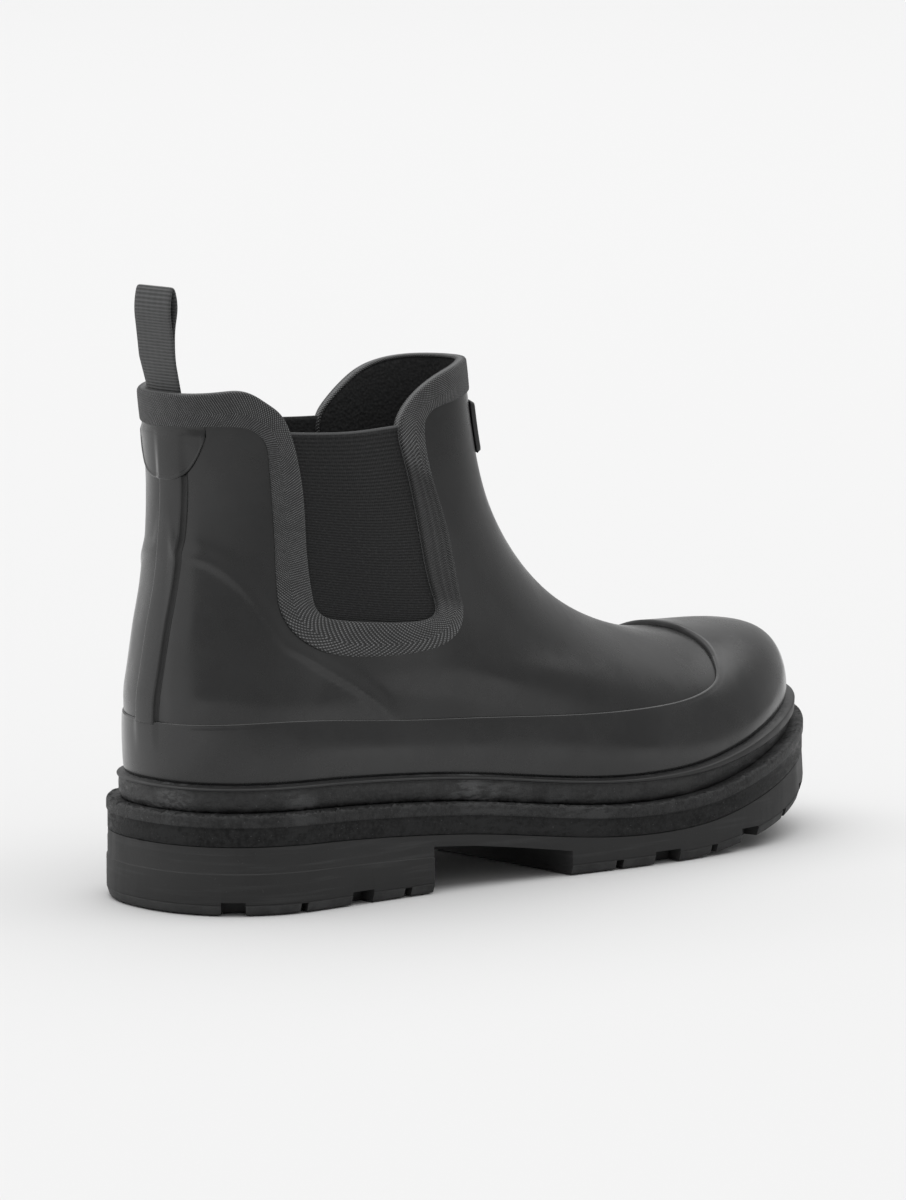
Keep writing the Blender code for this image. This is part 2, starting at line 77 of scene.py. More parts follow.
# Top of the midsole: y, z.
SOLE_TOP = table(
    (-20, 32.6),
    (10, 32.5),
    (40, 32.2),
    (80, 30.2),
    (110, 27.6),
    (140, 23.8),
    (170, 21.0),
    (190, 20.9),
    (210, 22.6),
    (230, 27.0),
    (255, 33.6),
    (289, 40.5),
    (310, 43.5),
)
# Toe spring, and the arch in front of the heel: y, z.
SPRING_START = 195
SPRING_POWER = 1.6
TOE_SPRING = 19.5
ARCH = ((89, 15.3), (106, 13.8), (125, 11.2), (146, 8.0))
# Lug notches: y, width, height, reach inwards.
NOTCHES = (
    (12.5, 8, 4.2, 6.5),
    (34.3, 2.6, 3, 4.5),
    (58.7, 9, 4.2, 6.5),
    (78, 3, 3, 4.5),
    (165.5, 3, 3, 4.5),
    (186, 11, 4.2, 6.5),
    (207.6, 3, 3, 4.5),
    (225.7, 9, 4.2, 6.5),
    (247.6, 3, 3, 4.5),
    (266, 8, 4.2, 6.5),
)
# Channels round the middle lugs of forefoot and heel.
CHANNELS = (
    dict(y_back=162, y_front=268, heel=32, waist=34, ball=32, toe=26, r_back=26, r_front=50),
    dict(y_back=18, y_front=74, heel=24, waist=25, ball=25, toe=24, r_back=24, r_front=14),
)
CHANNEL_WIDE = 4.5
CHANNEL_DEEP = 4
# Cross grooves between the middle lugs: y, half length.
GROOVES = ((45, 20.5), (186, 27), (207, 28), (228, 26))
GROOVE_WIDE = 4.8
GROOVE_DEEP = 3.6
# How far the tools that cut notches, channels and grooves reach past the sole.
CUT_PAST = 8

# Levels of the wall: t, y_back, y_front, share of the sole's curve, heights at back, middle and
# front, half widths heel, waist, ball, toe, lengths of the rounded ends.
LEVELS = table(
    (0.00, 8.0, 279.5, 1.0, 0.3, 0.3, 0.3, 33.5, 34.5, 43.5, 40.5, 34, 58),
    (0.08, 6.6, 281.0, 1.0, 12, 12, 12, 34.8, 35.5, 45.0, 42.0, 36, 60),
    (0.18, 5.2, 277.0, 1.0, 25, 25, 25, 35.2, 35.5, 44.0, 39.5, 37, 62),
    (0.28, 4.8, 264.0, 0.8, 42, 40, 40, 34.8, 35.0, 41.0, 34.0, 38, 64),
    (0.38, 5.6, 238.0, 0.5, 60, 56, 55.5, 34.0, 34.8, 36.5, 29.0, 39, 62),
    (0.48, 7.6, 205.5, 0.2, 84, 72, 70, 33.0, 34.5, 32.5, 26.5, 40, 52),
    (0.58, 9.8, 177.0, 0.0, 103, 90, 86, 32.0, 34.5, 30.0, 24.5, 41, 43),
    (0.72, 11.4, 150.5, 0.0, 124, 114, 112, 30.5, 33.0, 27.0, 22.5, 42, 35),
    (0.86, 10.4, 138.5, 0.0, 146, 140, 140, 29.5, 30.5, 22.0, 21.0, 43, 31),
    (1.00, 7.2, 133.0, 0.0, 176, 176, 177, 29.0, 29.0, 19.2, 20.0, 44, 29),
)

# Where along a level its three heights hold.
HEIGHT_STATIONS = (0.0, 0.45, 1.0)
# How far every piece on the wall stays above the sole.
SOLE_GAP = 0.1

# Edge tape, half way round: u, t at the free edge, then u, t at the tape's other edge.
TAPE = table(
    (0.000, 0.960, 0.000, 0.911),
    (0.030, 0.960, 0.029, 0.912),
    (0.093, 0.965, 0.089, 0.917),
    (0.123, 0.965, 0.114, 0.917),
    (0.132, 0.960, 0.1205, 0.915),
    (0.140, 0.953, 0.126, 0.911),
    (0.154, 0.938, 0.134, 0.900),
    (0.162, 0.915, 0.137, 0.885),
    (0.1665, 0.880, 0.137, 0.865),
    (0.168, 0.833, 0.136, 0.830),
    (0.161, 0.708, 0.131, 0.710),
    (0.157, 0.610, 0.125, 0.610),
    (0.158, 0.585, 0.125, 0.560),
    (0.163, 0.570, 0.131, 0.515),
    (0.178, 0.565, 0.149, 0.470),
    (0.207, 0.568, 0.190, 0.460),
    (0.238, 0.575, 0.240, 0.505),
    (0.254, 0.585, 0.268, 0.552),
    (0.263, 0.602, 0.284, 0.590),
    (0.269, 0.635, 0.293, 0.620),
    (0.286, 0.740, 0.318, 0.730),
    (0.298, 0.878, 0.326, 0.860),
    (0.2975, 0.900, 0.327, 0.889),
    (0.301, 0.916, 0.3295, 0.908),
    (0.309, 0.930, 0.334, 0.919),
    (0.321, 0.944, 0.3425, 0.927),
    (0.335, 0.956, 0.353, 0.931),
    (0.352, 0.966, 0.366, 0.9335),
    (0.373, 0.973, 0.383, 0.936),
    (0.402, 0.978, 0.408, 0.939),
    (0.450, 0.980, 0.450, 0.941),
    (0.500, 0.980, 0.500, 0.942),
)

# Millimetres a unit of u and of t at the collar, for spacing along the tape.
U_LENGTH = 250
T_LENGTH = 170
# How far round from the back or the front the pieces there reach, in u.
U_REACH = 0.12

# Upper edge of the rand and toe cap: u, t.
RAND_TOP = table(
    (-0.04, 0.210),
    (0.00, 0.208),
    (0.04, 0.210),
    (0.11, 0.217),
    (0.195, 0.200),
    (0.253, 0.223),
    (0.30, 0.236),
    (0.343, 0.234),
    (0.36, 0.246),
    (0.375, 0.277),
    (0.39, 0.306),
    (0.42, 0.352),
    (0.44, 0.373),
    (0.46, 0.386),
    (0.48, 0.394),
    (0.50, 0.396),
    (0.52, 0.394),
)
# Lower edge of the rand: t.
RAND_BOTTOM = 0.0668

# Middle line of the pull loop's webbing: y, z.
LOOP_PATH = table(
    (13.6, 150),
    (11.8, 165),
    (10.2, 176),
    (8.5, 189),
    (8.2, 196),
    (9.5, 200.5),
    (11.0, 196.5),
    (10.9, 189),
    (11.8, 176),
    (13.4, 165),
    (15.2, 150),
)
# Its width, thickness and distance from the boot's middle.
LOOP_WIDTH = 18
LOOP_THICK = 1.2
LOOP_SHIFT = -2.0
# The legs bend with the back of the collar and flatten towards the top: bend, two z, shares of it there.
LOOP_BEND = 0.026
LOOP_BEND_Z = (162, 178)
LOOP_BEND_SHARE = (1, 0.1)
# The front leg stands to one side: distance, shares of the length between which it moves over.
LOOP_SKEW = 2.0
LOOP_SKEW_SPAN = (0.48, 0.8)

# Strip up the back: half width, t and x of its lower and upper end, height above the wall.
STAY_HALF = 4.6
STAY_T = (0.2125, 0.8155)
STAY_X = (-2.1, 3.7)
STAY_HIGH = 1.35
# It runs on under the rand and the patch, to these t.
STAY_SPAN = (0.2, 0.834)

# Edge of the stiffened heel showing through the rubber: u, t.
COUNTER_EDGE = table(
    (-0.035, 0.647),
    (0.0, 0.649),
    (0.035, 0.647),
    (0.061, 0.638),
    (0.081, 0.613),
    (0.094, 0.583),
    (0.108, 0.520),
    (0.116, 0.465),
    (0.133, 0.427),
    (0.152, 0.343),
    (0.165, 0.223),
    (0.172, 0.150),
)
# Swell inside that edge: height, width of its slope, t between which it begins.
SWELL_HIGH = 0.7
SWELL_WIDE = 6
SWELL_FOOT = (0.12, 0.3)
# Ridge along the edge: height, how far its crest is above the edge, widths above and below the crest.
CREST_HIGH = 0.5
CREST_UP = 2
CREST_WIDE = (4, 1.5)
# On the strip up the back both are this much wider and this share as high: u between which the strip
# ends, and between which the low stretch beside it ends on the inner side.
ON_STRIP_WIDER = 2.6
ON_STRIP_SHARE = 0.25
STRIP_U = (0.008, 0.022)
INNER_U = (0.03, 0.09)


def spline(knots, values, at):
    """Natural cubic spline; values may have several columns; straight beyond the ends."""
    knots = np.asarray(knots, float)
    values = np.asarray(values, float)
    count = len(knots)
    gap = np.diff(knots)
    matrix = np.eye(count)
    right = np.zeros_like(values)
    for i in range(1, count - 1):
        matrix[i, i - 1 : i + 2] = gap[i - 1], 2 * (gap[i - 1] + gap[i]), gap[i]
        rise = (values[i + 1] - values[i]) / gap[i]
        right[i] = 6 * (rise - (values[i] - values[i - 1]) / gap[i - 1])
    bend = np.linalg.solve(matrix, right)
    at = np.asarray(at, float)
    first = np.clip(np.searchsorted(knots, at) - 1, 0, count - 2)
    span = gap[first]
    left = (knots[first + 1] - at) / span
    past = (at - knots[first]) / span
    if values.ndim > 1:
        span = span[..., None]
        left = left[..., None]
        past = past[..., None]
    curve = ((left**3 - left) * bend[first] + (past**3 - past) * bend[first + 1]) * span**2 / 6
    return left * values[first] + past * values[first + 1] + curve


def soft_step(low, high, value):
    """0 below low, 1 above high and a smooth rise between."""
    share = np.clip((value - low) / (high - low), 0, 1)
    return share * share * (3 - 2 * share)


def axis_x(y):
    return spline(AXIS[:, 0], AXIS[:, 1], y)


def sole_top(y):
    return spline(SOLE_TOP[:, 0], SOLE_TOP[:, 1], y)


def sole_bottom(y):
    share = np.maximum((y - SPRING_START) / (SOLE["y_front"] - SPRING_START), 0)
    return TOE_SPRING * share**SPRING_POWER


def plan(phi, y_back, y_front, heel, waist, ball, toe, r_back, r_front):
    """Point of a foot-shaped loop at angle phi, 0 at the back and pi at the front.

    Gives x, y and the share of the length.
    """
    share = (1 - np.cos(phi)) / 2
    weight = spline(STATIONS, np.eye(6), share)
    columns = (heel * BACK_SHARE, heel, waist, ball, toe, toe * FRONT_SHARE)
    width = sum(weight[..., i] * column for i, column in enumerate(columns))
    length = y_front - y_back
    back = np.clip(share * length / r_back, 0, 1)
    front = np.clip((1 - share) * length / r_front, 0, 1)
    width = width * (1 - (1 - back) ** END_POWER) ** (1 / END_POWER)
    width = width * (1 - (1 - front) ** END_POWER) ** (1 / END_POWER)
    side = np.where(np.sin(phi) >= 0, 1.0, -1.0)
    y = y_back + share * length
    return axis_x(y) + side * width, y, share


def smaller(size, inset):
    """Sizes of a foot-shaped loop drawn in by inset."""
    less = {key: value - inset for key, value in size.items()}
    less["y_back"] = size["y_back"] + inset
    return less


def wall_point(u, t):
    """Point on the boot's form."""
    row = spline(LEVELS[:, 0], LEVELS[:, 1:], t)
    y_back, y_front, share, h_back, h_mid, h_front, *widths = np.moveaxis(row, -1, 0)
    x, y, along = plan(2 * np.pi * u, y_back, y_front, *widths)
    weight = spline(HEIGHT_STATIONS, np.eye(3), along)
    height = weight[..., 0] * h_back + weight[..., 1] * h_mid + weight[..., 2] * h_front
    return np.stack([x, y, share * sole_top(y) + height], -1)


def wall(u, t, offset=0.0):
    """Point on the boot's form, moved outwards by offset in mm and kept above the sole."""
    u, t, offset = np.broadcast_arrays(*(np.asarray(value, float) for value in (u, t, offset)))
    near = 1e-4
    along = wall_point(u + near, t) - wall_point(u - near, t)
    up = wall_point(u, np.minimum(t + near, 1)) - wall_point(u, np.maximum(t - near, 0))
    normal = np.cross(along, up)
    normal /= np.linalg.norm(normal, axis=-1, keepdims=True)
    point = wall_point(u, t) + normal * offset[..., None]
    point[..., 2] = np.maximum(point[..., 2], sole_top(point[..., 1]) + SOLE_GAP)
    return point


def u_at_x(x, t, middle=0.0):
    """Position round the boot of the points at x on the back (middle 0) or front (0.5)."""
    trial = np.linspace(-U_REACH, U_REACH, 241)
    across = wall_point(middle + trial, np.full_like(trial, t))[:, 0]
    order = np.argsort(across)
    return middle + np.interp(x, across[order], trial[order])


# The model's origin, below the middle of the sole's outline.
SOLE_POINTS = 60
outline_x = plan(2 * np.pi * np.arange(SOLE_POINTS) / SOLE_POINTS, **SOLE)[0]
MIDDLE = np.array([(outline_x.min() + outline_x.max()) / 2, SOLE["y_front"] / 2, 0])

# Camera at the photograph's angle: place, degrees it looks down and is turned, focal length.
CAMERA_AT = np.array([1694.2, -1385.5, 394.2])
CAMERA_DOWN = 7.6535
CAMERA_TURN = 48.0716
FOCAL_LENGTH = 205.76
lens = bpy.data.cameras.new("camera")
lens.sensor_fit = "VERTICAL"
lens.sensor_height = 36
lens.lens = FOCAL_LENGTH
lens.clip_end = 100
camera = bpy.data.objects.new("camera", lens)
camera.location = (CAMERA_AT - MIDDLE) * MM
camera.rotation_euler = (math.radians(90 - CAMERA_DOWN), 0, math.radians(CAMERA_TURN))
bpy.context.scene.collection.objects.link(camera)
bpy.context.scene.camera = camera


def counter_height(u, t):
    """Swell of the stiffened heel, with a soft ridge along its edge, in mm."""
    inner_side = u % 1 > 0.5
    u = np.minimum(u % 1, 1 - u % 1)
    knots = np.arange(len(COUNTER_EDGE))
    edge = spline(knots, COUNTER_EDGE, np.linspace(0, knots[-1], 120))
    points = wall_point(u, t)
    far = np.full(u.shape, 1e9)
    for point in wall_point(edge[:, 0], edge[:, 1]):
        far = np.minimum(far, np.linalg.norm(points - point, axis=-1))
    below = (t < np.interp(u, edge[:, 0], edge[:, 1])) & (u < COUNTER_EDGE[-1, 0])
    off_strip = soft_step(*STRIP_U, u)
    wider = ON_STRIP_WIDER + (1 - ON_STRIP_WIDER) * off_strip
    from_crest = np.where(below, far, -far) / wider + CREST_UP
    ridge = np.exp(-((from_crest / np.where(from_crest < 0, *CREST_WIDE)) ** 2))
    swell = soft_step(-SWELL_WIDE, 0, from_crest)
    shown = np.where(inner_side, soft_step(*INNER_U, u), off_strip)
    fade = soft_step(*SWELL_FOOT, t) * (ON_STRIP_SHARE + (1 - ON_STRIP_SHARE) * shown)
    return fade * (SWELL_HIGH * swell + CREST_HIGH * ridge)


# Slow waves of the wall: height, t between which they begin.
DENT_HIGH = 0.16
DENTS_T = (0.2, 0.4)


def dents(u, t):
    """Slow waves of a soft moulded wall, in mm."""
    turn = 2 * np.pi * u
    slow = np.sin(5 * turn + 9 * t) * np.sin(13 * t + 1.2) + 0.6 * np.sin(9 * turn - 15 * t + 2)
    return DENT_HIGH * slow * soft_step(*DENTS_T, t)


def new_piece(name, work, paints):
    """Smooth-shaded object from a finished bmesh."""
    mesh = bpy.data.meshes.new(name)
    work.to_mesh(mesh)
    work.free()
    mesh.shade_smooth()
    for paint in paints:
        mesh.materials.append(paint)
    piece = bpy.data.objects.new(name, mesh)
    bpy.context.scene.collection.objects.link(piece)
    return piece


def thicken(piece, depth, inside=0):
    """Thickness of a sheet in mm, added behind it; inside is added to the number of its back's finish."""
    sheet = piece.modifiers.new("sheet", "SOLIDIFY")
    sheet.thickness = depth * MM
    sheet.offset = -1
    sheet.material_offset = inside
    return sheet


def inside_outline(x, y, outline):
    """Which points lie inside a closed outline."""
    found = np.zeros(len(x), bool)
    for (x0, y0), (x1, y1) in zip(outline, np.roll(outline, -1, 0)):
        if y0 != y1:
            crosses = (y0 > y) != (y1 > y)
            found ^= crosses & (x < (x1 - x0) * (y - y0) / (y1 - y0) + x0)
    return found


def trim(work, outline):
    """Leave out the faces inside an outline given for half the grid, and draw the new edge onto it."""
    centres = np.array([face.calc_center_median() for face in work.faces])
    folded = np.minimum(centres[:, 0], 1 - centres[:, 0])
    gone = inside_outline(folded, centres[:, 1], outline)
    dropped = {face for face, drop in zip(work.faces, gone) if drop}
    fresh = {edge for face in dropped for edge in face.edges}
    fresh = [edge for edge in fresh if any(face not in dropped for face in edge.link_faces)]
    rim = {vert for edge in fresh for vert in edge.verts}
    bmesh.ops.delete(work, geom=list(dropped), context="FACES")
    for vert in rim:
        u = min(vert.co.x, 1 - vert.co.x)
        away = np.hypot((outline[:, 0] - u) * U_LENGTH, (outline[:, 1] - vert.co.y) * T_LENGTH)
        nearest = outline[np.argmin(away)]
        if 0 < vert.co.x < 1:
            vert.co.x = nearest[0] if vert.co.x < 0.5 else 1 - nearest[0]
        vert.co.y = nearest[1]


def shaped_grid(columns, rows, place, flat, painter=None, outline=None):
    """Grid whose points go to place(a, b), a and b from 0 to 1.

    flat is its width and height in mm for the UV map; a list of heights goes with the rows.
    painter(a, b) gives a face's finish by number.
    """
    work = bmesh.new()
    bmesh.ops.create_grid(work, x_segments=columns, y_segments=rows, size=0.5)
    bmesh.ops.translate(work, verts=work.verts, vec=(0.5, 0.5, 0))
    if outline is not None:
        trim(work, outline)
    width, heights = flat
    heights = np.asarray(heights, float) if np.ndim(heights) else np.array([0.0, heights])
    levels = np.linspace(0, 1, len(heights))
    weave = work.loops.layers.uv.new("UVMap")
    for face in work.faces:
        for corner in face.loops:
            across = float(np.interp(corner.vert.co.y, levels, heights))
            corner[weave].uv = corner.vert.co.x * width * MM, across * MM
        if painter:
            centre = face.calc_center_median()
            face.material_index = painter(centre.x, centre.y)
    grid = np.array([vert.co for vert in work.verts])
    points = (place(grid[:, 0], grid[:, 1]) - MIDDLE) * MM
    for vert, point in zip(work.verts, points):
        vert.co = point
    return work


def joined(work):
    """Seams joined."""
    bmesh.ops.remove_doubles(work, verts=work.verts, dist=SEAM)
    return work


def closed(work):
    """Seams joined and faces turned outwards."""
    joined(work)
    bmesh.ops.recalc_face_normals(work, faces=work.faces)
    return work


def rows_at(rows, share):
    """Row of a table at share 0 to 1 of its rows, as columns."""
    rows = np.asarray(rows, float)
    at = share * (len(rows) - 1)
    return [np.interp(at, np.arange(len(rows)), column) for column in rows.T]


# Edge tape line, half way round and then back along the inner side.
run = np.hypot(np.diff(TAPE[:, 0]) * U_LENGTH, np.diff(TAPE[:, 1]) * T_LENGTH)
tape_knots = np.concatenate([[0], np.cumsum(run)])
# Length of the whole loop on its UV map, and the map's x where the front stretch begins and ends.
TAPE_LOOP = 880
FRONT_ROWS = slice(16, 22)
FRONT_U = (0.263, 0.298)
front_run = np.interp(FRONT_U, TAPE[FRONT_ROWS, 0], tape_knots[FRONT_ROWS])
tape_front = front_run / (2 * tape_knots[-1]) * TAPE_LOOP * MM


def tape_row(share):
    """TAPE row at share 0 to 1 of the whole loop."""
    there = np.where(share <= 0.5, share, 1 - share) * 2 * tape_knots[-1]
    row = spline(tape_knots, TAPE, there)
    back = (share > 0.5)[..., None]
    return np.where(back, row * (-1, 1, -1, 1) + (1, 0, 1, 0), row)


# Finishes.


def step(finish, kind, inputs=None, **settings):
    """New node in a finish; inputs hold values or the sockets that feed them."""
    made = finish.node_tree.nodes.new("ShaderNode" + kind)
    for key, value in settings.items():
        setattr(made, key, value)
    for key, value in (inputs or {}).items():
        if isinstance(value, bpy.types.NodeSocket):
            finish.node_tree.links.new(value, made.inputs[key])
        else:
            made.inputs[key].default_value = value
    return made


def new_finish(name, roughness, specular=0.5):
    finish = bpy.data.materials.new(name)
    finish.use_nodes = True
    shader = finish.node_tree.nodes["Principled BSDF"]
    shader.inputs["Roughness"].default_value = roughness
    shader.inputs["Specular IOR Level"].default_value = specular
    return finish, shader


def feed(finish, shader, **sockets):
    """Link sockets to the shader's inputs; an underscore stands for a space."""
    for key, socket in sockets.items():
        finish.node_tree.links.new(socket, shader.inputs[key.replace("_", " ")])


def place_on(finish, kind="Object"):
    return step(finish, "TexCoord").outputs[kind]


def noise(finish, where, scale, detail=2.0, rough=0.5):
    return step(
        finish, "TexNoise", {"Vector": where, "Scale": scale, "Detail": detail, "Roughness": rough}
    ).outputs["Fac"]


def stretched(finish, where, scale):
    return step(finish, "Mapping", {"Vector": where, "Scale": scale}).outputs["Vector"]


def sums(finish, operation, first, second=0.0, third=0.0):
    return step(finish, "Math", {0: first, 1: second, 2: third}, operation=operation).outputs[0]


def ramp(finish, value, low, high, to_low=0.0, to_high=1.0):
    inputs = {0: value, 1: low, 2: high, 3: to_low, 4: to_high}
    return step(finish, "MapRange", inputs, interpolation_type="SMOOTHSTEP").outputs[0]


def opaque(colour):
    return colour if isinstance(colour, bpy.types.NodeSocket) else (*colour, 1)


def blend(finish, share, first, second):
    """Colour between two colours or colour sockets."""
    inputs = {0: share, 6: opaque(first), 7: opaque(second)}
    return step(finish, "Mix", inputs, data_type="RGBA").outputs[2]


def relief(finish, height, strength, distance, under=None):
    inputs = {"Strength": strength, "Distance": distance, "Height": height}
    if under is not None:
        inputs["Normal"] = under
    return step(finish, "Bump", inputs).outputs["Normal"]


def grey(value, tint=0.012):
    return value * (1 - tint), value, value * (1 + tint)


def moulded_rubber(name, tone, gloss, dust=0.5):
    """Satin rubber: cloudy tone, smudged gloss, faint grain and a little dust."""
    finish, shader = new_finish(name, gloss)
    where = place_on(finish)
    cloud = ramp(finish, noise(finish, where, 24, 5, 0.65), 0.3, 0.7)
    colour = blend(finish, cloud, grey(tone * 0.7), grey(tone * 1.4))
    specks = ramp(finish, noise(finish, where, 2400, 1), 0.74, 0.82)
    patchy = ramp(finish, noise(finish, where, 30, 2), 0.45, 0.7, 0.0, dust)
    colour = blend(finish, sums(finish, "MULTIPLY", specks, patchy), colour, grey(tone * 7))
    smudge = noise(finish, where, 42, 6, 0.68)
    rough = ramp(finish, smudge, 0.3, 0.7, gloss - 0.06, gloss + 0.09)
    slow = relief(finish, noise(finish, where, 60, 2), 0.07, 0.0012)
    fine = relief(finish, noise(finish, where, 1500, 2), 0.05, 0.0003, slow)
    feed(finish, shader, Base_Color=colour, Roughness=rough, Normal=fine)
    return finish


def buffed_rubber(name, tone, scuff, grain, gloss):
    """Roughened rubber: granular tone, pale scuffs that run along the strip, and pale specks."""
    finish, shader = new_finish(name, 0.6, gloss)
    where = place_on(finish)
    along = stretched(finish, where, (1.0, 0.45, 1.8))
    rub = noise(finish, along, 270, 6, 0.68)
    pale = ramp(finish, rub, 0.42, 0.58)
    zone = ramp(finish, noise(finish, where, 34, 3), 0.42, 0.62)
    fleck = ramp(finish, noise(finish, where, 1500, 2), 0.7, 0.77)
    grains = ramp(finish, noise(finish, where, 620, 4, 0.75), 0.32, 0.68)
    colour = blend(finish, grains, grey(tone * 0.5), grey(tone * 1.5))
    colour = blend(finish, sums(finish, "MULTIPLY", pale, zone), colour, grey(tone * scuff))
    colour = blend(finish, sums(finish, "MULTIPLY", fleck, 0.6), colour, grey(tone * 10))
    rough = ramp(finish, rub, 0.3, 0.7, 0.4, 0.7)
    coarse = relief(finish, rub, grain, 0.0012)
    fine = relief(finish, noise(finish, where, 1000, 3, 0.7), grain, 0.0006, coarse)
    feed(finish, shader, Base_Color=colour, Roughness=rough, Normal=fine)
    return finish


def ribs(finish, value, pitch):
    """Rounded ribs across a length in metres, 0 to 1."""
    wave = sums(finish, "SINE", sums(finish, "MULTIPLY", value, 2 * math.pi / pitch))
    return sums(finish, "MULTIPLY_ADD", wave, 0.5, 0.5)


# Edge tape's weave in metres: its middle line, slanting ribs and yarns, length over which the painted
# shade on the front stretch begins and ends.
TWILL_MIDDLE = 0.0055
TWILL_RIB = 0.00145
TWILL_YARN = 0.0011
FRONT_SOFT = 0.012


def twill_tape(name, tone, free_edge, front):
    """Herringbone edge tape with a pale painted highlight at its free edge; UV x runs along it, UV y
    across.

    front is where the painted shade on the front stretch begins and ends along the first half of the
    loop.
    """
    finish, shader = new_finish(name, 0.7, 0.35)
    where = place_on(finish, "UV")
    parts = step(finish, "SeparateXYZ", {0: where})
    along, across = parts.outputs[0], parts.outputs[1]
    turned = sums(finish, "ABSOLUTE", sums(finish, "SUBTRACT", across, TWILL_MIDDLE))
    lines = ribs(finish, sums(finish, "ADD", along, turned), TWILL_RIB)
    yarn = ribs(finish, sums(finish, "SUBTRACT", along, turned), TWILL_YARN)
    weave = sums(finish, "MULTIPLY", lines, sums(finish, "MULTIPLY_ADD", yarn, 0.6, 0.4))
    uneven = ramp(finish, noise(finish, where, 160, 4, 0.7), 0.3, 0.7, 0.7, 1.2)
    light = sums(finish, "MULTIPLY", ramp(finish, weave, 0.3, 0.85), uneven)
    colour = blend(finish, light, grey(tone * 0.45), grey(tone * 4.6))
    # Painted shade: the front stretch is darker, because of how the light falls on it.
    half_way = sums(finish, "MINIMUM", along, sums(finish, "SUBTRACT", TAPE_LOOP * MM, along))
    stretch = sums(
        finish,
        "MULTIPLY",
        ramp(finish, half_way, front[0], front[0] + FRONT_SOFT),
        ramp(finish, half_way, front[1] - FRONT_SOFT, front[1], 0.8, 0.0),
    )
    colour = blend(finish, stretch, colour, grey(tone * 0.25))
    # Painted highlight: a pale line along the free edge, where the tape's rim catches the light from
    # above.
    from_edge = sums(finish, "ABSOLUTE", sums(finish, "SUBTRACT", across, free_edge))
    pale = ramp(finish, from_edge, 0.0003, 0.0011, 0.8, 0.0)
    colour = blend(finish, pale, colour, grey(tone * 3.6))
    feed(finish, shader, Base_Color=colour, Normal=relief(finish, weave, 0.7, 0.0007))
    shader.inputs["Sheen Weight"].default_value = 0.1
    return finish


# Ribs and yarns of the elastic and of the webbing, in metres.
ELASTIC_RIB = 0.00095
ELASTIC_YARN = 0.0009
WEBBING_RIB = 0.00105
WEBBING_YARN = 0.0007


def ribbed_elastic(name, tone, height):
    """Side elastic: fine level ribs, pale flecks and a pale painted highlight along the hem; UV y runs up
    the panel.
    """
    finish, shader = new_finish(name, 0.85, 0.2)
    where = place_on(finish, "UV")
    parts = step(finish, "SeparateXYZ", {0: where})
    across, up = parts.outputs[0], parts.outputs[1]
    lines = ribs(finish, up, ELASTIC_RIB)
    yarn = ribs(finish, across, ELASTIC_YARN)
    uneven = noise(finish, stretched(finish, where, (0.6, 1.0, 1.0)), 1700, 3, 0.65)
    fleck = ramp(finish, uneven, 0.45, 0.75)
    colour = blend(finish, lines, grey(tone * 0.65), grey(tone * 1.25))
    colour = blend(finish, sums(finish, "MULTIPLY", fleck, 0.6), colour, grey(tone * 2.6))
    # Painted highlight: a pale line along the top hem, where its edge catches the light.
    hem = ramp(finish, up, height - 0.0007, height - 0.0003)
    colour = blend(finish, hem, colour, grey(tone * 6))
    normal = relief(finish, sums(finish, "MULTIPLY_ADD", yarn, 0.25, lines), 0.5, 0.0005)
    feed(finish, shader, Base_Color=colour, Normal=normal)
    return finish


def ribbed_webbing(name, tone):
    """Grosgrain webbing; UV x runs along it."""
    finish, shader = new_finish(name, 0.78, 0.3)
    where = place_on(finish, "UV")
    parts = step(finish, "SeparateXYZ", {0: where})
    along, across = parts.outputs[0], parts.outputs[1]
    lines = ribs(finish, along, WEBBING_RIB)
    yarn = ribs(finish, across, WEBBING_YARN)
    uneven = noise(finish, where, 800, 3, 0.6)
    light = sums(finish, "MULTIPLY_ADD", uneven, 0.4, sums(finish, "MULTIPLY", lines, 0.7))
    colour = blend(finish, light, grey(tone * 0.42), grey(tone * 1.45))
    weave = sums(finish, "MULTIPLY_ADD", yarn, 0.2, lines)
    feed(finish, shader, Base_Color=colour, Normal=relief(finish, weave, 0.6, 0.0006))
    shader.inputs["Sheen Weight"].default_value = 0.1
    return finish


def knit_cloth(name, tone):
    """Dark jersey lining or footbed cloth."""
    finish, shader = new_finish(name, 0.95, 0.15)
    where = place_on(finish)
    loops = step(finish, "TexVoronoi", {"Vector": where, "Scale": 900.0}).outputs["Distance"]
    fuzz = noise(finish, where, 1100, 3, 0.7)
    colour = blend(finish, ramp(finish, fuzz, 0.3, 0.75), grey(tone * 0.75), grey(tone * 1.35))
    feed(finish, shader, Base_Color=colour, Normal=relief(finish, loops, 0.5, 0.0005))
    return finish


